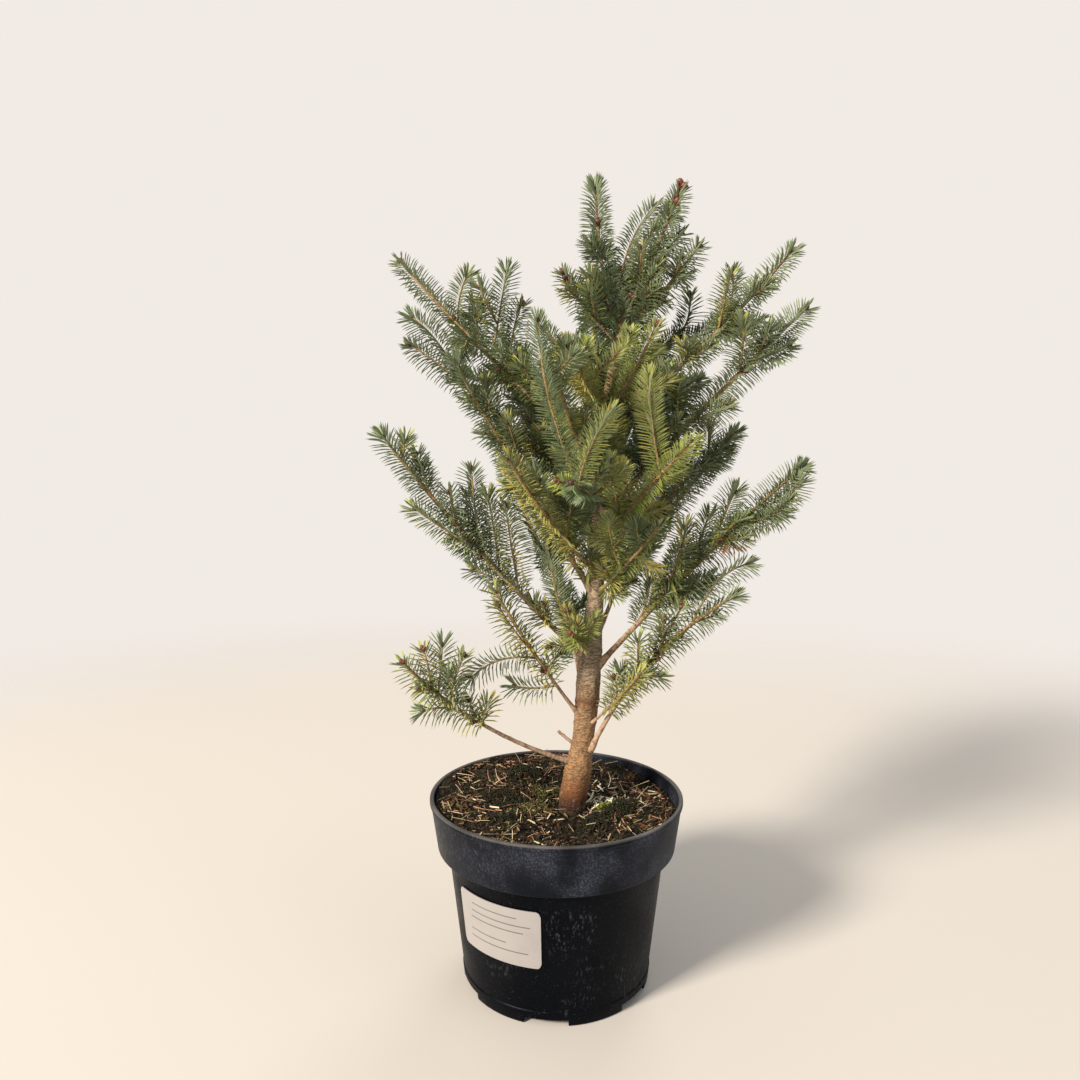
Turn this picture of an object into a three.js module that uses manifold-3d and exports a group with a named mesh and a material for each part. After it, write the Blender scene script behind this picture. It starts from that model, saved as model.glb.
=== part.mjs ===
// A young Korean fir in a black nursery pot, about half a metre tall with its pot.
// Millimetres, +Z up. The origin is the centre of the pot's flat underside,
// +X is the plant's right and -Y its front. Azimuths turn from +X towards +Y, the back.

import * as THREE from "three";
import { mergeVertices } from "three/addons/utils/BufferGeometryUtils.js";
import Module from "manifold-3d";

const wasm = await Module();
wasm.setup();

// ---------------------------------------------------------------- driving dimensions

const GAP = 0.3; // left between pieces that touch

const POT = {
  height: 112,
  rimRadius: 80.3, // outside of the top edge
  collarHeight: 30.5, // the wide band under the rim
  collarFootRadius: 75, // outside of the band's lower edge
  shoulderRadius: 68.6, // outside of the body just under the band
  footRadius: 58.3, // outside of the body at the ground
  wall: 1.6,
  lip: 0.9, // how far the rolled edge stands out
  lipHeight: 3.4,
  lipRound: 0.8,
  stepHeight: 8, // of the faint step above the foot
  stepDepth: 0.5,
  floor: 5.6, // thickness of the floor over its foot
  facets: 44,
};
const FOOT = {
  channels: 6, // radial channels that drain the floor
  first: -97, // azimuth of the first one, in degrees
  width: 26,
  height: 4,
  hub: 20, // radius of the solid disc in the middle
  holeRadius: 4.5,
  holeAt: 44, // distance of each drain hole from the middle
  holeSides: 10,
};
const SOIL = {
  level: 104,
  ripple: 1.6, // height of the mounds
  moundWide: 9,
  moundDeep: 11,
  slope: 0.01, // up towards the back left
  hollow: 102.7, // level of the flat patch that the trunk stands on
  hollowRadius: 17,
  hollowEdge: 12, // over which the patch blends into the mounds
  rimGap: 1.6, // between the soil's edge and the pot's inside
  facets: 28,
  rings: 6,
};
const LABEL = { from: 211.5, to: 261.5, bottom: 35.5, top: 69.5, thickness: 0.5, columns: 12 };

// The trunk's stations: height, right, back, radius. It is cut flat at the soil and ends at its fork.
const TRUNK = [
  [103, 9.5, -6, 10.4],
  [110, 10.7, -6, 8.7],
  [135, 15, -5, 8.1],
  [160, 19, -3.5, 7.9],
  [195, 21.5, -0.5, 8.4],
  [212, 22.5, 0, 6.7],
  [240, 26, 2, 5],
  [300, 28, 3, 4.1],
  [360, 31.5, 2, 3.2],
  [413, 42, 0, 2.4],
];
const TRUNK_SIDES = 12;
const TRUNK_STEP = 11; // between two of the trunk's rings
const LEAST_STEP = 3; // two rings nearer than this are one
const STUB = { up: 140, toward: 168, reach: 15, rise: 11, radius: 1.3, taper: 0.3 };

const LIMB = {
  sides: 7,
  step: 15, // between two rings
  thin: 0.35, // a limb's radius at the trunk is this much
  perLength: 0.011, // and this share of its length
};
const SHOOT_RADIUS = 0.8; // of a shoot at its tip
const STEM_EDGES = [45, 135, 270]; // the three edges of a shoot's stem, from its right side over its top

// A pair of side shoots stands at each node. Those at the foot of a mass are the longest.
const SIDE_SHOOT = {
  last: 0.9, // share of the bough at which the nodes end
  offset: 0.3, // of the first node, in steps between nodes
  longest: 1.05, // of the first pair, as a share of the bough's `side`
  shortening: 0.75, // from the first node to the end
  uneven: 0.5, // random part of the length
  twist: 40, // random part of the roll, in degrees
  splay: 14, // random part of the spread, in degrees
  forward: 0.35, // how far the outer half bends along the bough
  lift: 0.15, // and upwards
};

// Needles stand out of each shoot as teeth, in three rows, one tooth for a tuft.
const TOOTH = {
  pitch: 13, // along the shoot
  out: 10.5, // reach across the shoot
  forward: 9, // and along it
  ahead: 5, // reach of the last needles past the shoot's end
  least: 0.85, // share of the reach at the shoot's two ends
  swell: 0.2, // more in the middle
  uneven: 0.2, // random part of the reach
  twist: 24, // random part of the angle, in degrees
  rows: [90, 195, 345],
  shares: [1, 0.8, 0.6, 0.45], // tried in turn where there is little room
};

// Least distances that keep each mass in its own space.
const CLEAR = { shoots: 4.5, bark: 3, needleShoot: 1, needleBark: 1 };
const PIECE = 8; // length of the straight pieces that distances are measured to
const NEIGHBOURHOOD = 60; // shoots further off than this are not measured
const SAMPLES = 8; // points along a new shoot that are tested

// Each bough leaves the trunk at height `up` on the azimuth `toward`, and its tip lies `reach`
// out and `rise` above that. `bow` above 0 starts it flatter and sweeps it up at the end.
// The share `bare` has no needles. The rest has `nodes` pairs of side shoots, the first about
// `side` long, at `spread` degrees to the bough and turned by `roll` out of the level plane.
const USUAL = { bow: 0.04, bare: 0.12, nodes: 2, side: 42, roll: 40, spread: 46 };
const bough = (name, up, toward, reach, rise, own) => ({ name, up, toward, reach, rise, ...USUAL, ...own });
const BOUGHS = [
  // name, up, toward, reach, rise, and what differs from the usual
  bough("lowest_left", 131, 200, 117, 79, { bow: 0.14, bare: 0.46, nodes: 3, side: 38, roll: 62 }),
  bough("lowest_right", 118, -18, 102, 126, { bow: -0.18, bare: 0.3, nodes: 4, side: 34 }),
  bough("second_left", 157, 200, 62, 90, { bare: 0.3, nodes: 3, side: 36 }),
  bough("second_right", 153, -50, 51, 47, { bare: 0.35, nodes: 1, side: 26, roll: 30 }),
  bough("second_back", 160, 97, 86, 74, { bare: 0.4, side: 36, roll: 0 }),
  bough("long_left", 195, 194, 133, 146, { bare: 0.3, nodes: 4, side: 50, roll: 58 }),
  bough("long_right", 186, -14, 132, 135, { bow: -0.03, bare: 0.34, nodes: 4, side: 50, roll: 48 }),
  bough("front_cluster", 202, 252, 49, 21, { bare: 0.35, nodes: 1, side: 26, roll: 0 }),
  bough("back_right", 200, 62, 122, 116, { bare: 0.36, nodes: 3, side: 48, roll: 10 }),
  bough("back_left", 205, 121, 118, 122, { bare: 0.36, nodes: 3, side: 46, roll: -10 }),
  bough("middle_left", 236, 202, 96, 150, { bow: 0.02, bare: 0.22, nodes: 4 }),
  bough("front_left", 252, 235, 97, 74, { bow: 0.08, bare: 0.25, side: 36, roll: 20 }),
  bough("front_right", 238, -60, 69, 50, { bare: 0.28, side: 34, roll: 10 }),
  bough("middle_right", 245, 24, 112, 103, { bare: 0.28, nodes: 3, roll: 50 }),
  bough("middle_back", 243, 95, 114, 118, { bare: 0.25, nodes: 3, side: 46, roll: 0 }),
  bough("right_long", 286, -4, 134, 137, { bow: -0.02, bare: 0.14, nodes: 4, side: 44, roll: 50 }),
  bough("front_diagonal", 272, -50, 81, 64, { bow: 0, bare: 0.14, side: 34, roll: 20 }),
  bough("upper_left", 300, 192, 125, 106, { nodes: 3 }),
  bough("front_rise", 300, 246, 98, 101, { bow: 0.06, nodes: 4, side: 30, roll: 20 }),
  bough("front_point", 298, 258, 110, 12, { bow: 0, bare: 0.2, side: 28, roll: 0 }),
  bough("front_short", 302, -68, 24, 56, { bow: 0.08, side: 26, roll: 0 }),
  bough("upper_back_right", 300, 60, 104, 112, { nodes: 3, roll: 10 }),
  bough("upper_back_left", 306, 132, 102, 116, { nodes: 3, roll: -10 }),
  bough("top_left", 326, 166, 143, 139, { nodes: 4, side: 58, roll: 60 }),
  bough("high_right", 345, 2, 125, 118, { bow: 0.06, nodes: 4, side: 50, roll: 60 }),
  bough("high_front_right", 350, -56, 53, 57, { bow: 0.06, side: 30, roll: 20 }),
  bough("high_front_left", 352, 243, 62, 43, { bow: 0.06, side: 28, roll: 20 }),
  bough("high_left", 358, 178, 63, 97, { bow: 0.08, nodes: 3, side: 34 }),
  bough("high_back", 355, 95, 74, 98, { bow: 0.06, nodes: 3, side: 36, roll: 0 }),
  bough("dark_right", 362, 36, 123, 109, { bow: 0.06, nodes: 3, side: 36, roll: 50 }),
  bough("dark_middle", 368, 58, 66, 82, { bow: 0.06, nodes: 2, side: 28, roll: 30 }),
  bough("crown_left", 400, 190, 38, 47, { bow: 0.1, side: 26 }),
  bough("crown_right", 404, 5, 55, 63, { bow: 0.06, side: 30 }),
  bough("crown_back", 394, 88, 34, 74, { bow: 0.06, side: 26, roll: 0 }),
  bough("left_leader", 408, 172, 16, 99, { bow: 0.3, bare: 0.04, side: 22, spread: 36 }),
  bough("between_leaders", 403, 38, 52, 98, { bow: -0.08, bare: 0.04, nodes: 1, side: 20 }),
  bough("right_leader", 413, -2, 39, 88, { bare: 0, nodes: 4, side: 26, spread: 40 }),
];
const LEAST_LIMB = 0.2; // a bough with a smaller bare share is all foliage, from the trunk on

// ---------------------------------------------------------------- colours and finishes

const finish = (color, roughness) => new THREE.MeshStandardMaterial({ color, roughness, metalness: 0 });
const BLACK_PLASTIC = () => finish(0x1b1d1f, 0.42);
const BARK_MULCH = () => finish(0x4a3a28, 0.95);
const WHITE_PAPER = () => finish(0xece9e2, 0.6);
const TAN_BARK = () => finish(0x9c7c5c, 0.85);
const NEEDLE_GREEN = () => finish(0x4f6b45, 0.6);

// ---------------------------------------------------------------- helpers

const UP = new THREE.Vector3(0, 0, 1);
const NEARLY_UP = new THREE.Vector3(0, 1e-4, 1).normalize(); // so that a level ring has a first side
const { degToRad: radians, lerp } = THREE.MathUtils;

// A closed geometry as a manifold solid.
function solidOf(geometry) {
  const bare = geometry.clone();
  bare.deleteAttribute("normal");
  bare.deleteAttribute("uv");
  const merged = mergeVertices(bare, 1e-4);
  return new wasm.Manifold(
    new wasm.Mesh({
      numProp: 3,
      vertProperties: merged.attributes.position.array,
      triVerts: merged.index.array,
    }),
  );
}

// A manifold solid as a geometry.
function geometryOf(solid) {
  const { vertProperties, triVerts } = solid.getMesh();
  const geometry = new THREE.BufferGeometry();
  geometry.setAttribute("position", new THREE.BufferAttribute(vertProperties, 3));
  geometry.setIndex(new THREE.BufferAttribute(triVerts, 1));
  geometry.computeVertexNormals();
  return geometry;
}

// A geometry from a list of points and a list of triangles.
function surface(points, triangles) {
  const geometry = new THREE.BufferGeometry();
  const numbers = points.flatMap((point) => point.toArray());
  geometry.setAttribute("position", new THREE.Float32BufferAttribute(numbers, 3));
  geometry.setIndex(triangles.flat());
  geometry.computeVertexNormals();
  return geometry;
}

// A closed skin over rings of equal count, each end drawn together to a point.
function loft(rings, first, last) {
  const count = rings[0].length;
  const points = [...rings.flat(), first, last];
  const triangles = [];
  for (let ring = 0; ring < rings.length - 1; ring++)
    for (let side = 0; side < count; side++) {
      const a = ring * count + side;
      const b = ring * count + ((side + 1) % count);
      triangles.push([a, b, b + count], [a, b + count, a + count]);
    }
  const end = (rings.length - 1) * count;
  for (let side = 0; side < count; side++) {
    const next = (side + 1) % count;
    triangles.push([points.length - 2, next, side], [points.length - 1, end + side, end + next]);
  }
  return surface(points, triangles);
}

// A number from 0 to 1 that is always the same for the same keys.
function chance(...keys) {
  const weights = [12.9898, 78.233, 37.719, 11.135];
  const wave = Math.sin(keys.reduce((sum, key, i) => sum + key * weights[i], 0)) * 43758.5453;
  return wave - Math.floor(wave);
}

// The trunk's centre and radius at a height.
function trunkAt(height) {
  const inside = THREE.MathUtils.clamp(height, TRUNK[0][0], TRUNK.at(-1)[0]);
  const next = TRUNK.findIndex(([top], i) => i > 0 && top >= inside);
  const [low, high] = [TRUNK[next - 1], TRUNK[next]];
  const share = (inside - low[0]) / (high[0] - low[0]);
  const [, x, y, radius] = low.map((value, k) => lerp(value, high[k], share));
  return { centre: new THREE.Vector3(x, y, height), radius };
}

// The two directions across a shoot, the first one level, turned together about the shoot.
function across(along, roll) {
  const side = new THREE.Vector3().crossVectors(along, UP).normalize();
  const top = new THREE.Vector3().crossVectors(side, along);
  const [c, s] = [Math.cos(radians(roll)), Math.sin(radians(roll))];
  return {
    side: side.clone().multiplyScalar(c).addScaledVector(top, s),
    top: top.clone().multiplyScalar(c).addScaledVector(side, -s),
  };
}

// A ring of points round a centre, square to a direction.
function ringRound(centre, along, radius, sides) {
  const { side, top } = across(along, 0);
  return Array.from({ length: sides }, (_, i) => {
    const angle = (-2 * Math.PI * i) / sides;
    const [right, up] = [radius * Math.cos(angle), radius * Math.sin(angle)];
    return centre.clone().addScaledVector(side, right).addScaledVector(top, up);
  });
}

// How far a point lies outside the trunk's bark.
function clearOfTrunk(point) {
  const { centre, radius } = trunkAt(point.z);
  return Math.hypot(point.x - centre.x, point.y - centre.y) - radius;
}

// The value at which a test turns from false to true, between two that it is false and true for.
function turningPoint(before, after, test) {
  for (let halving = 0; halving < 30; halving++) {
    const middle = (before + after) / 2;
    if (test(middle)) after = middle;
    else before = middle;
  }
  return after;
}

// The share of a path at which it leaves the trunk's bark.
function leavesTrunkAt(path) {
  return turningPoint(0, 0.5, (share) => clearOfTrunk(path.getPoint(share)) > GAP);
}

// A point slid out along a direction until it lies a gap clear of the trunk.
function seatOnTrunk(point, along) {
  const facetSlack = 0.05; // the bark's facets lie a little inside its round
  const slid = (by) => point.clone().addScaledVector(along, by);
  return slid(turningPoint(-12, 30, (by) => clearOfTrunk(slid(by)) > GAP + facetSlack));
}

// A point slid along a direction until it lies a gap above the trunk's fork.
function seatOnFork(point, along) {
  const rise = TRUNK.at(-1)[0] + GAP - point.z;
  return point.clone().addScaledVector(along, rise / along.z);
}

// ---------------------------------------------------------------- pot, soil and label

function bodyRadius(height) {
  const share = height / (POT.height - POT.collarHeight);
  return lerp(POT.footRadius, POT.shoulderRadius, share);
}

function lathe(profile, facets) {
  const points = profile.map(([radius, height]) => new THREE.Vector2(radius, height));
  return new THREE.LatheGeometry(points, facets).rotateX(Math.PI / 2);
}

const COLLAR_FOOT = POT.height - POT.collarHeight;

function potSolid() {
  const { height, rimRadius, collarFootRadius, shoulderRadius, footRadius } = POT;
  const { wall, lip, lipHeight, lipRound, stepHeight, stepDepth, floor } = POT;
  const profile = [
    [0, 0],
    [footRadius, 0],
    [bodyRadius(stepHeight), stepHeight],
    [bodyRadius(stepHeight) - stepDepth, stepHeight + stepDepth],
    [shoulderRadius, COLLAR_FOOT],
    [collarFootRadius, COLLAR_FOOT],
    [rimRadius - lip, height - lipHeight],
    [rimRadius, height - lipHeight + lipRound],
    [rimRadius, height - lipRound],
    [rimRadius - lipRound, height],
    [rimRadius - wall - lip, height],
    [collarFootRadius - wall, COLLAR_FOOT + wall],
    [shoulderRadius - wall, COLLAR_FOOT + wall],
    [footRadius - wall, floor],
    [0, floor],
  ];
  let pot = solidOf(lathe(profile, POT.facets));
  const long = footRadius - FOOT.hub + FOOT.width / 2; // past the outside of the foot
  for (let i = 0; i < FOOT.channels; i++) {
    const azimuth = THREE.MathUtils.degToRad(FOOT.first + (360 * i) / FOOT.channels);
    const channel = new THREE.BoxGeometry(long, FOOT.width, 2 * FOOT.height);
    channel.translate(FOOT.hub + long / 2, 0, 0).rotateZ(azimuth);
    const hole = new THREE.CylinderGeometry(FOOT.holeRadius, FOOT.holeRadius, 3 * floor, FOOT.holeSides);
    hole.rotateX(Math.PI / 2).translate(FOOT.holeAt, 0, 0).rotateZ(azimuth);
    pot = pot.subtract(solidOf(channel)).subtract(solidOf(hole));
  }
  return geometryOf(pot);
}

// The soil's surface: small mounds, and a level hollow where the trunk stands.
function soilHeight(x, y) {
  const { centre } = trunkAt(TRUNK[0][0]);
  const away = Math.hypot(x - centre.x, y - centre.y);
  const mounds = SOIL.ripple * Math.sin(x / SOIL.moundWide + 1.3) * Math.cos(y / SOIL.moundDeep);
  const rough = SOIL.level + mounds + SOIL.slope * (y - x);
  const blend = THREE.MathUtils.smoothstep(away, SOIL.hollowRadius, SOIL.hollowRadius + SOIL.hollowEdge);
  return lerp(SOIL.hollow, rough, blend);
}

function soilSolid() {
  const slack = POT.wall + GAP;
  const topRadius = POT.rimRadius - POT.lip - slack - SOIL.rimGap;
  const sideProfile = [
    [POT.footRadius - slack, POT.floor + GAP],
    [POT.shoulderRadius - slack, COLLAR_FOOT + POT.wall + GAP],
    [POT.collarFootRadius - slack, COLLAR_FOOT + POT.wall + GAP],
  ];
  const ringAt = (radius, heightAt) =>
    Array.from({ length: SOIL.facets }, (_, i) => {
      const angle = (2 * Math.PI * i) / SOIL.facets;
      const [x, y] = [radius * Math.cos(angle), radius * Math.sin(angle)];
      return new THREE.Vector3(x, y, heightAt(x, y));
    });
  const rings = sideProfile.map(([radius, height]) => ringAt(radius, () => height));
  for (let ring = SOIL.rings; ring > 0; ring--)
    rings.push(ringAt((topRadius * ring) / SOIL.rings, soilHeight));
  return loft(rings, new THREE.Vector3(0, 0, POT.floor + GAP), new THREE.Vector3(0, 0, soilHeight(0, 0)));
}

// A thin sticker bent round the pot's body.
function labelSolid() {
  const rings = Array.from({ length: LABEL.columns + 1 }, (_, i) => {
    const angle = radians(lerp(LABEL.from, LABEL.to, i / LABEL.columns));
    const corner = (height, out) => {
      const radius = bodyRadius(height) + GAP + out;
      return new THREE.Vector3(radius * Math.cos(angle), radius * Math.sin(angle), height);
    };
    return [
      corner(LABEL.bottom, 0),
      corner(LABEL.top, 0),
      corner(LABEL.top, LABEL.thickness),
      corner(LABEL.bottom, LABEL.thickness),
    ];
  });
  const middle = (ring) => ring.reduce((sum, p) => sum.add(p), new THREE.Vector3()).divideScalar(ring.length);
  return loft(rings, middle(rings[0]), middle(rings.at(-1)));
}

// ---------------------------------------------------------------- trunk and boughs

function trunkSolid() {
  const heights = new Set(TRUNK.map((station) => station[0]));
  const [foot, fork] = [TRUNK[0][0], TRUNK.at(-1)[0]];
  const steps = Math.round((fork - foot) / TRUNK_STEP);
  for (let i = 0; i <= steps; i++) heights.add(Math.round(lerp(foot, fork, i / steps)));
  const levels = [...heights].sort((a, b) => a - b);
  const kept = (height, i) => i === 0 || height === fork || height - levels[i - 1] > LEAST_STEP;
  const rings = levels.filter(kept).map((height) => {
    const { centre, radius } = trunkAt(height);
    return ringRound(centre, NEARLY_UP, radius, TRUNK_SIDES).map((point) => point.setZ(height));
  });
  return loft(rings, trunkAt(foot).centre, trunkAt(fork).centre);
}

// The bough's path, from the trunk's centre to its tip.
function boughPath({ up, toward, reach, rise, bow }) {
  const out = new THREE.Vector3(Math.cos(radians(toward)), Math.sin(radians(toward)), 0);
  const start = trunkAt(up).centre;
  const at = (outShare, upShare) =>
    start.clone().addScaledVector(out, reach * outShare).addScaledVector(UP, rise * upShare);
  return new THREE.QuadraticBezierCurve3(start, at(0.5 + bow, 0.5 - bow), at(1, 1));
}

// The bough's radius along its path: thicker the longer it is.
function boughRadius(path, share) {
  return lerp(LIMB.thin + LIMB.perLength * path.getLength(), SHOOT_RADIUS, share);
}

// A tapering limb that rises from the trunk and is cut square at its end.
function limbSolid(path, radiusAt, endShare) {
  const steps = Math.max(3, Math.round((path.getLength() * endShare) / LIMB.step));
  const rings = [];
  const from = leavesTrunkAt(path);
  for (let i = 0; i <= steps; i++) {
    const share = lerp(from, endShare, i / steps);
    const along = path.getTangent(share);
    const ring = ringRound(path.getPoint(share), along, radiusAt(share), LIMB.sides);
    rings.push(i === 0 ? ring.map((point) => seatOnTrunk(point, along)) : ring);
  }
  const foot = seatOnTrunk(path.getPoint(from), path.getTangent(from));
  return loft(rings, foot, path.getPoint(endShare));
}

// ---------------------------------------------------------------- foliage

// A side shoot: it leaves at an angle, then bends forward and up.
function sideShoot(start, along, outward, spread, length) {
  const first = along.clone().multiplyScalar(Math.cos(spread)).addScaledVector(outward, Math.sin(spread));
  const { forward, lift } = SIDE_SHOOT;
  const second = first.clone().addScaledVector(along, forward).addScaledVector(UP, lift).normalize();
  const middle = start.clone().addScaledVector(first, length / 2);
  return new THREE.QuadraticBezierCurve3(start, middle, middle.clone().addScaledVector(second, length / 2));
}

// The shoots that a bough wants: its own needled end, then a pair at each node.
function wantedShoots(row, seed) {
  const { last, offset, longest, shortening, uneven, twist, splay } = SIDE_SHOOT;
  const path = boughPath(row);
  const shoots = [];
  for (let node = 0; node < row.nodes; node++) {
    const share = row.bare + ((last - row.bare) * (node + offset)) / row.nodes;
    const along = path.getTangent(share);
    const { side } = across(along, row.roll + twist * (chance(seed, node, 3) - 0.5));
    for (const [hand, turn] of [[0, 1], [1, -1]]) {
      const even = row.side * (longest - (shortening * node) / row.nodes);
      const length = even * (1 + uneven * (chance(seed, node, hand) - 0.5));
      const spread = radians(row.spread + splay * (chance(seed, node, hand + 5) - 0.5));
      shoots.push(sideShoot(path.getPoint(share), along, side.clone().multiplyScalar(turn), spread, length));
    }
  }
  return shoots;
}

// A path as the short straight pieces between its stations.
function pieces(path, from, to, owner, id, radiusAt) {
  const steps = Math.max(2, Math.round((path.getLength() * (to - from)) / PIECE));
  return Array.from({ length: steps }, (_, i) => {
    const [a, b] = [i, i + 1].map((k) => lerp(from, to, k / steps));
    const line = new THREE.Line3(path.getPoint(a), path.getPoint(b));
    return { owner, id, line, radius: radiusAt((a + b) / 2) };
  });
}

const nearest = new THREE.Vector3();
function distanceTo(line, point) {
  return line.closestPointToPoint(point, true, nearest).distanceTo(point);
}

// Everything that foliage keeps clear of: bare limbs, and the shoots of other masses.
const limbPieces = [];
const shootPieces = [];

function staysInItsSpace(path, owner) {
  const points = path.getPoints(SAMPLES);
  const foreign = shootPieces.filter((piece) => piece.owner !== owner);
  return points.every(
    (point, i) =>
      foreign.every((piece) => distanceTo(piece.line, point) > CLEAR.shoots) &&
      (i < 2 || limbPieces.every((piece) => distanceTo(piece.line, point) > piece.radius + CLEAR.bark)) &&
      clearOfTrunk(point) > CLEAR.bark,
  );
}

// The largest share of a tooth's reach that stays nearer its own shoot than any other.
function roomFor(root, tip, owner, id) {
  const near = (piece) => piece.line.start.distanceTo(tip) < NEIGHBOURHOOD;
  const others = shootPieces.filter((piece) => piece.id !== id && near(piece));
  for (const share of TOOTH.shares) {
    const end = root.clone().lerp(tip, share);
    const own = end.distanceTo(root);
    const least = (piece) => (piece.owner === owner ? own / 2 : own + CLEAR.needleShoot);
    const free =
      others.every((piece) => distanceTo(piece.line, end) > least(piece)) &&
      limbPieces.every((piece) => distanceTo(piece.line, end) > piece.radius + CLEAR.needleBark) &&
      clearOfTrunk(end) > CLEAR.needleBark;
    if (free) return share;
  }
  return 0;
}

// One shoot with its needles: a slim three-sided stem, and along each side a row of teeth.
function spraySolid({ path, from, radiusAt, owner, id, bareSteps, seat }) {
  const steps = Math.max(2, Math.round((path.getLength() * (1 - from)) / TOOTH.pitch));
  const shareAt = (i) => Math.min(lerp(from, 1, i / steps), 0.999);
  const round = (share, angle) => {
    const { side, top } = across(path.getTangent(share), 0);
    return side.multiplyScalar(Math.cos(radians(angle))).addScaledVector(top, Math.sin(radians(angle)));
  };
  const points = [];
  for (let i = 0; i <= steps; i++) {
    const share = shareAt(i);
    for (const angle of STEM_EDGES) {
      const place = path.getPoint(share).addScaledVector(round(share, angle), radiusAt(share));
      points.push(i === 0 && seat ? seat(place, path.getTangent(share)) : place);
    }
  }
  const triangles = [[0, 1, 2]];
  for (let i = 0; i < steps; i++) {
    const share = shareAt(i + 0.5);
    const root = path.getPoint(share);
    for (let side = 0; side < 3; side++) {
      const [a, b] = [3 * i + side, 3 * i + ((side + 1) % 3)];
      const swell = TOOTH.swell * Math.sin((Math.PI * (i + 1)) / steps);
      const long = TOOTH.least + swell + TOOTH.uneven * (chance(id, i, side) - 0.5);
      const angle = TOOTH.rows[side] + TOOTH.twist * (chance(id, i, side + 3) - 0.5);
      const tip = root
        .clone()
        .addScaledVector(round(share, angle), TOOTH.out * long)
        .addScaledVector(path.getTangent(share), TOOTH.forward * long);
      const room = i < bareSteps ? 0 : roomFor(root, tip, owner, id);
      if (room === 0) {
        triangles.push([a, b + 3, b], [a, a + 3, b + 3]);
        continue;
      }
      const tooth = points.push(root.clone().lerp(tip, room)) - 1;
      triangles.push([a, a + 3, tooth], [a + 3, b + 3, tooth], [b + 3, b, tooth], [b, a, tooth]);
    }
  }
  const end = 3 * steps;
  const tip = points.push(path.getPoint(1).addScaledVector(path.getTangent(1), TOOTH.ahead)) - 1;
  triangles.push([end, tip, end + 1], [end + 1, tip, end + 2], [end + 2, tip, end]);
  return solidOf(surface(points, triangles));
}

// A mass of foliage: its shoots joined into one body, with any loose scrap dropped.
function massSolid({ owner, path, from, seat, shoots }) {
  const stem = { path, from, radiusAt: (share) => boughRadius(path, share), bareSteps: seat ? 1 : 0 };
  const twig = { from: 0, radiusAt: () => SHOOT_RADIUS, bareSteps: 1 };
  let mass = spraySolid({ ...stem, owner, id: owner, seat });
  for (const { shoot, id } of shoots) mass = mass.add(spraySolid({ ...twig, path: shoot, owner, id }));
  const bodies = mass.decompose().sort((a, b) => b.volume() - a.volume());
  return geometryOf(bodies[0]);
}

// ---------------------------------------------------------------- the whole plant

const fir = new THREE.Group();
function add(name, geometry, material) {
  const mesh = new THREE.Mesh(geometry, material);
  mesh.name = name;
  fir.add(mesh);
}

add("pot", potSolid(), BLACK_PLASTIC());
add("soil", soilSolid(), BARK_MULCH());
add("label", labelSolid(), WHITE_PAPER());
add("trunk", trunkSolid(), TAN_BARK());
const stubPath = boughPath({ ...STUB, bow: 0 });
const stubRadius = (share) => STUB.radius * (1 - STUB.taper * share);
add("dead_stub", limbSolid(stubPath, stubRadius, 1), TAN_BARK());

const plans = BOUGHS.map((row, owner) => {
  const path = boughPath(row);
  const length = path.getLength();
  if (row.bare >= LEAST_LIMB) return { row, owner, path, seat: null, from: row.bare + GAP / length };
  if (row.up >= TRUNK.at(-1)[0]) return { row, owner, path, seat: seatOnFork, from: GAP / length };
  return { row, owner, path, seat: seatOnTrunk, from: leavesTrunkAt(path) };
});

for (const { row, owner, path, seat, from } of plans) {
  const radiusAt = (share) => boughRadius(path, share);
  if (!seat) {
    add("bough_" + row.name, limbSolid(path, radiusAt, row.bare), TAN_BARK());
    limbPieces.push(...pieces(path, 0.05, row.bare - 0.01, owner, owner, radiusAt));
  }
  shootPieces.push(...pieces(path, from, 1, owner, owner, radiusAt));
}
limbPieces.push(...pieces(stubPath, 0.1, 1, null, null, stubRadius));

let shootCount = plans.length;
for (const plan of plans) {
  plan.shoots = [];
  for (const shoot of wantedShoots(plan.row, plan.owner + 1)) {
    if (!staysInItsSpace(shoot, plan.owner)) continue;
    const id = (shootCount += 1);
    plan.shoots.push({ shoot, id });
    shootPieces.push(...pieces(shoot, 0, 1, plan.owner, id, () => SHOOT_RADIUS));
  }
}
for (const plan of plans) add("foliage_" + plan.row.name, massSolid(plan), NEEDLE_GREEN());

export default fir;
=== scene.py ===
# %% [markdown]
# # A young Korean fir in its nursery pot
#
# The plant is half a metre tall: a leaning trunk, whorls of upswept boughs, short flat needles
# that are dark green above and silvery below, and a black plastic pot of mulch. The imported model
# gives every piece its place, and this script grows the fine surface around it: bark, twigs, tens
# of thousands of needles, buds, chips of mulch and the moulded pot.
#
# Sizes in this script are millimetres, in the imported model's own frame, and turn into metres only
# where a mesh or an object is made.

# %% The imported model
import math

import bpy
import numpy as np
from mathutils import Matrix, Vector, noise


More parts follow.
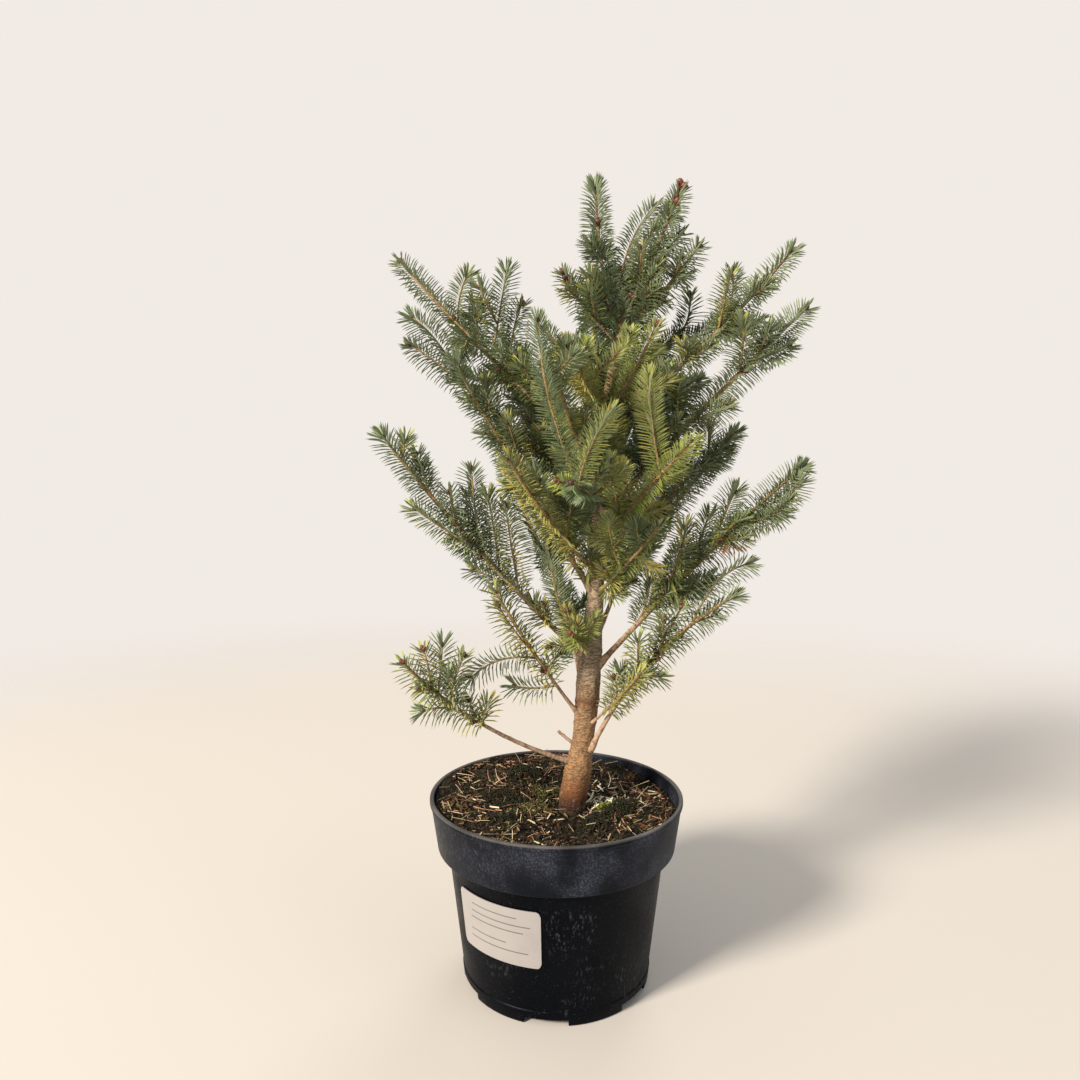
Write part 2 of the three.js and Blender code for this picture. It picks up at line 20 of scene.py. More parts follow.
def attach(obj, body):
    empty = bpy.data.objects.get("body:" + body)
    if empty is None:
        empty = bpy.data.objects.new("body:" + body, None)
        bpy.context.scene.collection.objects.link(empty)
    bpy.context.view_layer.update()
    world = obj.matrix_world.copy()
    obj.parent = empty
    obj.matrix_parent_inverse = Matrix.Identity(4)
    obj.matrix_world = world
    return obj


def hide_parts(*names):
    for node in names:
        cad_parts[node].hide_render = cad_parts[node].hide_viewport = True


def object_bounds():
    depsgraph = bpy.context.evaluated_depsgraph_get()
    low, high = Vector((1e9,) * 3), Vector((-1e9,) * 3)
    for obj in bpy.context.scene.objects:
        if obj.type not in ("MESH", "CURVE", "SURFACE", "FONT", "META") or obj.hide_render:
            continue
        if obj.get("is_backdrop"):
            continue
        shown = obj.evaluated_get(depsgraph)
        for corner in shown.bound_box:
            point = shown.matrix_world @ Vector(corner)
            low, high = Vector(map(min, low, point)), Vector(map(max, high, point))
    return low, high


MM = 0.001
UP = np.array([0.0, 0.0, 1.0])


def unit(vectors):
    return vectors / np.linalg.norm(vectors, axis=-1, keepdims=True)


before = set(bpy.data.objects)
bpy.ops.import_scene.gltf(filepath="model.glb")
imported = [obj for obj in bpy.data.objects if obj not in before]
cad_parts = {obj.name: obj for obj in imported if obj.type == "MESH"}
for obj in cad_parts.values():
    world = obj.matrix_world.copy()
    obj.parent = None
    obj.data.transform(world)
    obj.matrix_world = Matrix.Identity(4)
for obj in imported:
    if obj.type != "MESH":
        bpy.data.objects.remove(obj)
cad_low, cad_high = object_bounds()
print(len(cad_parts), "nodes, box", tuple(cad_low), tuple(cad_high))

# %% [markdown]
# ## Camera, light and floor
#
# The camera stands half a metre in front at two thirds of the plant's height and looks level, so
# the trunk's sides stay parallel. A small shift frames the pot without tilting the view. The light
# is a broad warm key from the front left, a weak cool fill from the right, a weak rim from behind
# and a pale sky.

# %% Camera
PICTURE = 1080  # the frame's side in pixels
FOCAL = 801  # focal length in those pixels
HORIZON = 485  # the row of pixels that the camera's height falls on
CAMERA_AT = (-10.3, -514.0, 308.4)
SENSOR = 36.0  # of the camera, millimetres on the film

camera_data = bpy.data.cameras.new("camera")
camera_data.sensor_width = SENSOR
camera_data.lens = FOCAL / PICTURE * SENSOR
camera_data.shift_y = (HORIZON - PICTURE / 2) / PICTURE
camera = bpy.data.objects.new("camera", camera_data)
camera.location = Vector(CAMERA_AT) * MM
camera.rotation_euler = (math.radians(90), 0, 0)
bpy.context.scene.collection.objects.link(camera)
bpy.context.scene.camera = camera
print("camera lens", round(camera_data.lens, 2), "shift", round(camera_data.shift_y, 4))

# %% Light
MIDDLE = (0, 0, 0.26)  # of the plant, in metres


def area_light(name, place, size, watts, color):
    """A square lamp that faces the plant's middle, all in metres."""
    data = bpy.data.lights.new(name, "AREA")
    data.size, data.energy, data.color = size, watts, color
    lamp = bpy.data.objects.new(name, data)
    lamp.location = place
    lamp.rotation_euler = (Vector(MIDDLE) - Vector(place)).to_track_quat("-Z", "Y").to_euler()
    bpy.context.scene.collection.objects.link(lamp)
    print(name, "lamp,", watts, "W at", place)


area_light("key", (-3.2, -2.7, 2.4), size=1.0, watts=400, color=(1.0, 0.9, 0.78))
area_light("fill", (1.5, -1.0, 0.7), size=1.2, watts=6, color=(0.78, 0.88, 1.0))
area_light("rim", (0.6, 1.6, 1.3), size=1.0, watts=12, color=(1.0, 0.96, 0.92))

# %% Sky and backdrop
SKY_COLOR, SKY_STRENGTH = (1.0, 0.97, 0.93, 1), 0.45
WALL_COLOR = (0.88, 0.83, 0.78, 1)  # what the camera sees in place of the sky

world = bpy.data.worlds.new("sky")
world.use_nodes = True
nodes, links = world.node_tree.nodes, world.node_tree.links
sky = nodes["Background"]
sky.inputs["Color"].default_value = SKY_COLOR
sky.inputs["Strength"].default_value = SKY_STRENGTH
wall = nodes.new("ShaderNodeBackground")
wall.inputs["Color"].default_value = WALL_COLOR
seen = nodes.new("ShaderNodeLightPath")
either = nodes.new("ShaderNodeMixShader")
links.new(seen.outputs["Is Camera Ray"], either.inputs[0])
links.new(sky.outputs[0], either.inputs[1])
links.new(wall.outputs[0], either.inputs[2])
links.new(either.outputs[0], nodes["World Output"].inputs[0])
bpy.context.scene.world = world
bpy.context.scene.view_settings.view_transform = "Standard"
print("a pale sky of strength", SKY_STRENGTH)

# %% [markdown]
# ## Finishes
#
# Each finish is a Principled shader. What varies over a surface is worked out by a few nodes, so
# the helper below lets those nodes be written as sums: a wire is a socket that can be added to or
# multiplied by another wire or by a number.


# %% Sums of wires
class Wire:
    """A node's output that takes part in sums as a number does."""

    def __init__(self, finish, socket):
        self.finish, self.socket = finish, socket

    def math(self, operation, first, second=0.0):
        return self.finish.node("ShaderNodeMath", {"operation": operation}, {0: first, 1: second})

    def __add__(self, other):
        return self.math("ADD", self, other)

    def __sub__(self, other):
        return self.math("SUBTRACT", self, other)

    def __rsub__(self, other):
        return self.math("SUBTRACT", other, self)

    def __mul__(self, other):
        return self.math("MULTIPLY", self, other)

    def __truediv__(self, other):
        return self.math("DIVIDE", self, other)

    __radd__ = __add__
    __rmul__ = __mul__


# %% A finish and its nodes
# Which output is meant, of nodes that have several: the point on the object, a vector's length, a
# mixed colour. A colour mix takes its two colours on the sockets MIX_FIRST and MIX_SECOND.
OBJECT_POINT, LENGTH, MIXED = 3, 1, 2
MIX_FIRST, MIX_SECOND = 6, 7


class Finish:
    """A material, with its Principled shader and the nodes that feed it."""

    def __init__(self, name, color, roughness, **fixed):
        self.material = bpy.data.materials.new(name)
        self.material.use_nodes = True
        self.tree = self.material.node_tree
        self.surface = self.tree.nodes["Principled BSDF"]
        self.feed("Base Color", color)
        self.feed("Roughness", roughness)
        for socket, value in fixed.items():
            self.feed(socket.replace("_", " "), value)

    def plug(self, socket, value):
        if isinstance(value, Wire):
            self.tree.links.new(value.socket, socket)
        elif isinstance(value, tuple) and socket.type == "RGBA":
            socket.default_value = (*value, 1.0)
        else:
            socket.default_value = value

    def feed(self, socket, value):
        self.plug(self.surface.inputs[socket], value)

    def node(self, kind, settings, sockets, out=0):
        """A node: its settings are made first, then its sockets. One of its outputs is the wire."""
        made = self.tree.nodes.new(kind)
        for key, value in settings.items():
            if key == "stops":
                while len(made.color_ramp.elements) < len(value):
                    made.color_ramp.elements.new(0.5)
                for stop, (place, shade) in zip(made.color_ramp.elements, value):
                    stop.position, stop.color = place, (*shade, 1.0)
            else:
                setattr(made, key, value)
        for key, value in sockets.items():
            self.plug(made.inputs[key], value)
        return Wire(self, made.outputs[out])

    def place(self, stretch=(1, 1, 1)):
        """Where on the object, in metres, stretched along each axis."""
        point = self.node("ShaderNodeTexCoord", {}, {}, OBJECT_POINT)
        return self.node("ShaderNodeVectorMath", {"operation": "MULTIPLY"}, {0: point, 1: stretch})

    def axis(self, letter):
        return self.node("ShaderNodeSeparateXYZ", {}, {0: self.place()}, "XYZ".index(letter))

    def clouds(self, scale, detail=4.0, stretch=(1, 1, 1)):
        """Soft noise around 0.5."""
        wanted = {"Vector": self.place(stretch), "Scale": scale, "Detail": detail}
        return self.node("ShaderNodeTexNoise", {}, wanted)

    def ramp(self, value, low, high):
        """0 where a wire is under low, 1 over high, and smooth between."""
        wanted = {"Value": value, "From Min": low, "From Max": high}
        return self.node("ShaderNodeMapRange", {"interpolation_type": "SMOOTHSTEP"}, wanted)

    def patches(self, low, high, scale, *look):
        """Clouds with a clearer edge: 0 where they are under low, 1 over high."""
        return self.ramp(self.clouds(scale, *look), low, high)

    def mix(self, share, first, second):
        """Two colours, by share."""
        wanted = {0: share, MIX_FIRST: first, MIX_SECOND: second}
        return self.node("ShaderNodeMix", {"data_type": "RGBA"}, wanted, MIXED)

    def bump(self, height, strength, depth):
        wanted = {"Height": height, "Strength": strength, "Distance": depth}
        self.feed("Normal", self.node("ShaderNodeBump", {}, wanted))


def linear(tone):
    """The linear light of a tone from 0 to 255 as the eye sees it."""
    return ((tone / 255 + 0.055) / 1.055) ** 2.4 if tone > 10 else tone / 255 / 12.92


def shade(red, green, blue):
    """A colour named by its tones, as the linear light that a shader takes."""
    return linear(red), linear(green), linear(blue)


print("the middle grey, tone 128, is", round(linear(128), 3), "of full light")

# %% The floor
FLOOR_HALF = 3.0  # metres
FLOOR_COLOR = shade(206, 201, 194)
FADE_FROM, FADE_TO = 0.55, 1.5  # distance over which the floor melts into the backdrop


def floor_finish():
    finish = Finish("pale_floor", FLOOR_COLOR, 0.9)
    away = finish.node("ShaderNodeVectorMath", {"operation": "LENGTH"}, {0: finish.place()}, LENGTH)
    finish.feed("Alpha", 1 - finish.ramp(away, FADE_FROM, FADE_TO))
    return finish


floor_mesh = bpy.data.meshes.new("floor")
signs = ((-1, -1), (1, -1), (1, 1), (-1, 1))
floor_mesh.from_pydata([(FLOOR_HALF * a, FLOOR_HALF * b, 0) for a, b in signs], [], [(0, 1, 2, 3)])
floor_mesh.materials.append(floor_finish().material)
floor = bpy.data.objects.new("floor", floor_mesh)
bpy.context.scene.collection.objects.link(floor)
floor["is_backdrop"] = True
print("pale floor", 2 * FLOOR_HALF, "m wide")

# %% [markdown]
# ## Meshes from arrays
#
# A plant is thousands of small bodies. Making an object for each would be slow, so each kind is
# piled up in arrays and becomes one mesh. A pile takes points and polygons and gives each polygon
# one of the mesh's materials.

# %% The pile
class Pile:
    """Points and polygons of many small bodies that become one mesh."""

    def __init__(self):
        self.points, self.polygons, self.tints, self.total = [], [], [], 0

    def add(self, points, *polygons, tint=0):
        """Arrays of 3 or 4 columns that count from the first of these points.

        A list of tints has an entry for each array, and any other tint goes for all of them.
        """
        tints = tint if isinstance(tint, list) else [tint] * len(polygons)
        for corners, own in zip(polygons, tints):
            self.polygons.append(np.asarray(corners) + self.total)
            self.tints.append(np.broadcast_to(own, len(corners)))
        self.points.append(np.asarray(points, float).reshape(-1, 3))
        self.total += len(self.points[-1])

    def mesh(self, name, finishes, smooth=False):
        sizes = np.concatenate([np.full(len(p), p.shape[1]) for p in self.polygons])
        mesh = bpy.data.meshes.new(name)
        mesh.vertices.add(self.total)
        mesh.vertices.foreach_set("co", (np.concatenate(self.points) * MM).ravel())
        mesh.loops.add(int(sizes.sum()))
        mesh.loops.foreach_set("vertex_index", np.concatenate([p.ravel() for p in self.polygons]))
        mesh.polygons.add(len(sizes))
        mesh.polygons.foreach_set("loop_start", np.concatenate([[0], np.cumsum(sizes)[:-1]]))
        mesh.polygons.foreach_set("material_index", np.concatenate(self.tints))
        mesh.polygons.foreach_set("use_smooth", np.full(len(sizes), smooth))
        for finish in finishes:
            mesh.materials.append(finish.material)
        mesh.update(calc_edges=True)
        print(name, int((sizes - 2).sum()), "triangles")
        return mesh

    def piece(self, name, finishes, slot, replaces=(), smooth=False):
        """The pile as a piece that rides with the plant."""
        made = bpy.data.objects.new(name, self.mesh(name, finishes, smooth))
        bpy.context.scene.collection.objects.link(made)
        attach(made, "root")
        if replaces:
            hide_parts(*replaces)
        return made


# %% Sheets and barrels of points
def grid(rows, columns, closed):
    """The quads of a sheet of points, rows by columns, whose columns may close on themselves."""
    across_row = np.arange(columns if closed else columns - 1)
    row, column = np.meshgrid(np.arange(rows - 1), across_row, indexing="ij")
    a = (row * columns + column).ravel()
    b = (row * columns + (column + 1) % columns).ravel()
    return np.stack([a, b, b + columns, a + columns], 1)


def circle(columns):
    """The angles of a closed row of points."""
    return 2 * math.pi * np.arange(columns) / columns


def barrel(rows, columns):
    """The faces of closed rows of points that end in two poles: the quads, and a fan at each end."""
    around = np.arange(columns)
    after = (around + 1) % columns
    total, last_row = rows * columns, (rows - 1) * columns
    low = np.stack([np.full(columns, total), after, around], 1)
    high = np.stack([np.full(columns, total + 1), last_row + around, last_row + after], 1)
    return grid(rows, columns, True), low, high


print("a barrel of 3 rows of 8 points has", sum(len(faces) for faces in barrel(3, 8)), "faces")

# %% [markdown]
# ## The pot
#
# The real pot is blow-moulded in one piece: a tapering body, a wide band under the rim, a thin
# rolled lip, and six shallow channels under the floor that let water out. A thing of revolution is
# quickest made by turning a profile, so the profile's few corners are rounded first and then turned.
# The channels and drain holes aren't round about the axis, so they are cut out with booleans.

# %% A turned shape
ARC_POINTS = 5  # on each rounded corner


def curve(start, middle, end, t):
    """Places on the quadratic curve that leaves its start and reaches its end towards the middle."""
    return start * (1 - t) ** 2 + middle * 2 * t * (1 - t) + end * t**2


def rounded(corners):
    """A profile from (radius, height, rounding) corners, each rounding drawn as a short arc."""
    line = []
    for i, (*corner, rounding) in enumerate(corners):
        corner = np.array(corner)
        if not rounding:
            line.append(corner)
            continue
        before, after = (np.array(corners[j][:2]) - corner for j in (i - 1, i + 1))
        first, last = corner + unit(before) * rounding, corner + unit(after) * rounding
        line.extend(curve(first, corner, last, t) for t in np.linspace(0, 1, ARC_POINTS))
    return np.array(line)


def turned(profile, columns):
    """A closed body of revolution from a profile that starts and ends on the axis."""
    angle = circle(columns)
    radius, height = profile[1:-1, :1], profile[1:-1, 1:]
    rows = np.stack([radius * np.cos(angle), radius * np.sin(angle), height + 0 * angle], -1)
    poles = [(0, 0, profile[0, 1]), (0, 0, profile[-1, 1])]
    pile = Pile()
    pile.add(np.concatenate([rows.reshape(-1, 3), poles]), *barrel(len(radius), columns))
    return pile


print("each rounding takes", ARC_POINTS, "points")


# %% The pot's plastic
BAND_FADE, LIP_FADE = (0.0795, 0.083), (0.1106, 0.1118)  # heights, in metres, where the band and lip start
SHADED_SIDE = (0.03, -0.06)  # from here to there, rightwards in metres, painted shade darkens the band towards the left


def plastic():
    """Black plastic, greyer and dustier on the band, with pale scuffs, a painted blue cast, painted shade on
    the band's left and a painted highlight on the lip.
    """
    # Painted reflection: the blue specular tint cools what the plastic reflects.
    finish = Finish("pot_plastic", (0, 0, 0), 0.5, Specular_IOR_Level=0.08, Specular_Tint=(0.7, 0.82, 1.0))
    height = finish.axis("Z")
    band = finish.ramp(height, *BAND_FADE)
    dust = finish.patches(0.35, 0.75, 38)
    grain = finish.patches(0.46, 0.64, 900, 3)
    speck = finish.patches(0.70, 0.78, 1500, 1)
    scuff = finish.patches(0.54, 0.72, 700, 5, (1, 1, 0.4)) * finish.patches(0.5, 0.66, 26, 2)
    # Painted cool light: the blue in the body's and the band's colours stands for the sky and the fill lamp.
    body = finish.mix(dust * 0.5 + grain * 0.25, shade(1, 2, 5), shade(10, 12, 17))
    # Painted shade: the band's dust is darkened on its left side, where the key light falls.
    left = finish.ramp(finish.axis("X"), *SHADED_SIDE)
    dust_and_left_shade = dust * (0.3 + grain * 0.7) * (1 - left * 0.6)
    color = finish.mix(band, body, finish.mix(dust_and_left_shade, shade(15, 17, 23), shade(76, 80, 94)))
    color = finish.mix(speck * 0.3 + scuff * 0.2, color, shade(120, 122, 128))
    # Painted highlight: a paler line along the lip's top edge, patchy with the dust.
    lip_highlight = finish.ramp(height, *LIP_FADE) * (0.3 + dust * 0.4)
    finish.feed("Base Color", finish.mix(lip_highlight, color, shade(116, 112, 107)))
    finish.feed("Roughness", 0.34 + dust * 0.16 + grain * 0.1 + lip_highlight * 0.2)
    finish.bump(finish.clouds(420, 3), 0.25, 0.0004)
    return finish


pot_plastic = plastic()
print("plastic of", len(pot_plastic.tree.nodes), "nodes")

# %% Turning the pot
POT = dict(height=112.0, rim=80.3, band_foot=75.0, shoulder=68.6, foot=58.3, wall=1.6, lip=0.9)
BAND_HEIGHT, LIP_HEIGHT, LIP_SLOPE = 30.5, 3.4, 0.8
STEP_HEIGHT, STEP_DEPTH, FLOOR_TOP = 8.0, 0.5, 5.6
BAND_FOOT = POT["height"] - BAND_HEIGHT
POT_COLUMNS = 168
GAP = 0.3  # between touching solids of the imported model


def body_radius(height):
    return POT["foot"] + (POT["shoulder"] - POT["foot"]) * height / BAND_FOOT


top, rim, wall, lip = POT["height"], POT["rim"], POT["wall"], POT["lip"]
pot_profile = rounded([
    (0, 0, 0),
    (POT["foot"], 0, 1.2),
    (body_radius(STEP_HEIGHT), STEP_HEIGHT, 0.3),
    (body_radius(STEP_HEIGHT) - STEP_DEPTH, STEP_HEIGHT + STEP_DEPTH, 0.3),
    (POT["shoulder"], BAND_FOOT, 0.8),
    (POT["band_foot"], BAND_FOOT, 1.1),
    (rim - lip, top - LIP_HEIGHT, 0.4),
    (rim, top - LIP_HEIGHT + LIP_SLOPE, 0.5),
    (rim, top, 0.9),
    (rim - wall - lip, top, 0.7),
    (POT["band_foot"] - wall, BAND_FOOT + wall, 0.6),
    (POT["shoulder"] - wall, BAND_FOOT + wall, 0.6),
    (POT["foot"] - wall, FLOOR_TOP, 1.5),
    (0, FLOOR_TOP, 0),
])
pot = turned(pot_profile, POT_COLUMNS).piece("pot_shell", [pot_plastic], "pot", ["pot"], smooth=True)

# %% Channels and drain holes
CHANNELS, CHANNEL_WIDE, CHANNEL_HIGH, HUB = 6, 26.0, 4.0, 20.0
FIRST_CHANNEL = -97.0  # azimuth in degrees
PAST_FOOT = 10.0  # how far a cutter reaches beyond the pot
HOLE_RADIUS, HOLE_AT, HOLE_COLUMNS = 4.5, 44.0, 24
BOX_SIDES = [(j, (j + 1) % 4, (j + 1) % 4 + 4, j + 4) for j in range(4)]
SHARP_FROM = math.radians(35)  # steeper edges than this aren't smoothed over


def add_cutters(pile, azimuth):
    """The block of one channel and the pin of its drain hole, each from 1 mm under the pot."""
    out = np.array([math.cos(azimuth), math.sin(azimuth), 0])
    aside = np.array([-math.sin(azimuth), math.cos(azimuth), 0])
    half, far = CHANNEL_WIDE / 2, POT["foot"] + PAST_FOOT
    outline = ((HUB, -half), (far, -half), (far, half), (HUB, half))
    block = [out * r + aside * s + UP * z for z in (-1, CHANNEL_HIGH) for r, s in outline]
    pile.add(block, [(3, 2, 1, 0), (4, 5, 6, 7)], BOX_SIDES)
    turn = circle(HOLE_COLUMNS)[:, None]
    centre, above = out * HOLE_AT, UP * (FLOOR_TOP + 1)
    ring = centre + HOLE_RADIUS * (np.cos(turn) * out + np.sin(turn) * aside)
    pile.add([*(ring - UP), *(ring + above), centre - UP, centre + above], *barrel(2, HOLE_COLUMNS))


def cut(piece, pile):
    """Cuts a pile's bodies out of a piece and drops them."""
    tool = bpy.data.objects.new("tool", pile.mesh("tool", []))
    bpy.context.scene.collection.objects.link(tool)
    boolean = piece.modifiers.new("cut", "BOOLEAN")
    boolean.operation, boolean.solver, boolean.object = "DIFFERENCE", "EXACT", tool
    boolean.use_self = True
    cut_mesh = bpy.data.meshes.new_from_object(piece.evaluated_get(bpy.context.evaluated_depsgraph_get()))
    piece.modifiers.clear()
    piece.data = cut_mesh
    bpy.data.objects.remove(tool)


cutters = Pile()
for i in range(CHANNELS):
    add_cutters(cutters, math.radians(FIRST_CHANNEL + 360 * i / CHANNELS))
cut(pot, cutters)
pot.data.set_sharp_from_angle(angle=SHARP_FROM)
print("pot with", CHANNELS, "channels and drain holes,", len(pot.data.polygons), "faces")

# %% [markdown]
# ## The label
#
# The grower's sticker sits low on the front left. It is thin paper bent round the pot, so it is a
# strip of columns on the pot's own radius, shorter at its two ends where the corners are rounded.
# Its print is left as plain ruled lines, which the finish draws by height.

# %% The sticker's paper
# The rules of the blank print: each one's height and its right end, in metres.
RULES = ((0.0640, -0.024), (0.0595, -0.016), (0.0555, -0.020), (0.0480, -0.030), (0.0435, -0.017))
RULE_FADE = (0.00025, 0.0004)  # from a rule's middle line
RULES_START = (-0.0505, -0.0501)


def ruled_paper():
    """Off-white paper with a few grey rules, each at a height and up to its own end."""
    finish = Finish("label_paper", (0, 0, 0), 0.55)
    height, right = finish.axis("Z"), finish.axis("X")
    ink = 0.0
    for rule, end in RULES:
        near = finish.node("ShaderNodeMath", {"operation": "ABSOLUTE"}, {0: height - rule})
        ink = ink + (1 - finish.ramp(near, *RULE_FADE)) * (1 - finish.ramp(right, end, end + 0.0004))
    ink = ink * finish.ramp(right, *RULES_START)
    stain = finish.patches(0.4, 0.8, 70) * 0.4
    paper = finish.mix(stain, shade(158, 154, 152), shade(142, 137, 134))
    finish.feed("Base Color", finish.mix(ink * 0.75, paper, shade(70, 70, 72)))
    finish.bump(finish.clouds(90, 2), 0.2, 0.0006)
    return finish


label_paper = ruled_paper()
print("paper with", len(RULES), "rules")

# %% A blank sticker
LABEL = dict(start=211.5, end=261.5, bottom=35.5, top=69.5, middle=52, thick=0.5, corner=3.0)
LABEL_COLUMNS, LABEL_ROWS = 60, 8

share = np.linspace(0, 1, LABEL_COLUMNS + 1)
level = np.linspace(0, 1, LABEL_ROWS + 1)[:, None]
turned_by = LABEL["end"] - LABEL["start"]
azimuth = np.radians(LABEL["start"] + turned_by * share)
along_label = share * np.radians(turned_by) * body_radius(LABEL["middle"])
corner = LABEL["corner"]
from_end = np.minimum(np.minimum(along_label, along_label[-1] - along_label), corner)
drop = corner - np.sqrt(corner**2 - (corner - from_end) ** 2)
height = (LABEL["bottom"] + drop) * (1 - level) + (LABEL["top"] - drop) * level
sheets = []
for out in (GAP, GAP + LABEL["thick"]):
    radius = body_radius(height) + out
    sheets.append(np.stack([radius * np.cos(azimuth), radius * np.sin(azimuth), height], -1))

index = np.arange(height.size).reshape(height.shape)
behind = np.concatenate([index[0], index[1:, -1], index[-1, -2::-1], index[-2:0:-1, 0]])
before = behind + index.size
edge = np.stack([behind, np.roll(behind, -1), np.roll(before, -1), before], 1)
faces = grid(*index.shape, False)
label = Pile()
label.add(np.stack(sheets), faces[:, ::-1], faces + index.size, edge)
label.piece("label_sticker", [label_paper], "label", ["label"])

# %% [markdown]
# ## How the fir grows
#
# The solids follow a rule, and so does this script: the same trunk, the same boughs, the same
# pairs of side shoots with the same seeded chances, and the same test that keeps each bough's
# foliage in its own space. Beyond that, the script carries the rule one order further, to the
# fine twigs between the shoots.

# %% Small vector maths
CHANCE_WEIGHTS, CHANCE_SCALE = (12.9898, 78.233, 37.719, 11.135), 43758.5453
LENGTH_STEPS = 200  # a path's length is measured over this many straight steps


def chance(*keys):
    """A number from 0 to 1 that is always the same for the same keys."""
    wave = math.sin(sum(key * weight for key, weight in zip(keys, CHANCE_WEIGHTS))) * CHANCE_SCALE
    return wave - math.floor(wave)


def across(along, roll=0.0):
    """The two directions across a shoot, the first one level, turned together about the shoot."""
    side = unit(np.cross(along, UP))
    top = np.cross(side, along)
    c, s = math.cos(math.radians(roll)), math.sin(math.radians(roll))
    return side * c + top * s, top * c - side * s


class Path:
    """A quadratic curve from a start to an end, pulled towards a middle point."""

    def __init__(self, start, middle, end):
        self.start, self.middle, self.end = start, middle, end
        steps = np.diff(self.at(np.linspace(0, 1, LENGTH_STEPS + 1)), axis=0)
        self.length = float(np.linalg.norm(steps, axis=1).sum())

    def at(self, share):
        return curve(self.start, self.middle, self.end, np.asarray(share, float)[..., None])

    def along(self, share):
        t = np.asarray(share, float)[..., None]
        return unit((self.middle - self.start) * (1 - t) + (self.end - self.middle) * t)


print("a chance that is always the same:", round(chance(1, 2, 3), 3))

# %% The trunk and the stub
# The trunk's stations: height, right, back, radius.
TRUNK = np.array([
    (103, 9.5, -6, 10.4),
    (110, 10.7, -6, 8.7),
    (135, 15, -5, 8.1),
    (160, 19, -3.5, 7.9),
    (195, 21.5, -0.5, 8.4),
    (212, 22.5, 0, 6.7),
    (240, 26, 2, 5),
    (300, 28, 3, 4.1),
    (360, 31.5, 2, 3.2),
    (413, 42, 0, 2.4),
])
STUB = dict(up=140, toward=168, reach=15, rise=11, bow=0.0, radius=1.3)
print("trunk from", TRUNK[0, 0], "to", TRUNK[-1, 0], "mm above the ground")

# %% The boughs
SHOOT_RADIUS = 0.8
LIMB_THIN, LIMB_PER_LENGTH = 0.35, 0.011  # a limb's radius at the trunk, and its share of the length
LEAST_LIMB = 0.2  # a bough with a smaller bare share is all foliage, from the trunk on

# Each bough leaves the trunk at height `up` on the azimuth `toward`, and its tip lies `reach` out
# and `rise` above that. `bow` above 0 starts it flatter. The share `bare` has no needles, and the
# rest has `nodes` pairs of side shoots, about `side` long, at `spread` degrees, turned by `roll`.
# `leaf` says whether its needles are the usual green, sunlit and young, or in the crown's shade.
# `tones` deals it the greens of another kind, and `green` gives its own line one green. `thin` is
# the number of needles beside the usual, and `small` their size. `brush` says whether the tip ends
# in a brush of needles or in bare buds, and `fine` whether fine twigs grow on it. The bough ends at
# the share `stop` of its line, and forks there into shoots of the table further down.
USUAL_LEAF, YOUNG, SHADED = "foliage", "foliage_young", "foliage_shaded"
USUAL = dict(bow=0.04, bare=0.12, nodes=2, side=42, roll=40, spread=46, leaf=USUAL_LEAF, tones=None,
             green=None, thin=1.0, small=1.0, brush=None, fine=True, stop=1.0)


def bough(name, up, toward, reach, rise, **own):
    return dict(name=name, up=up, toward=toward, reach=reach, rise=rise, **{**USUAL, **own})


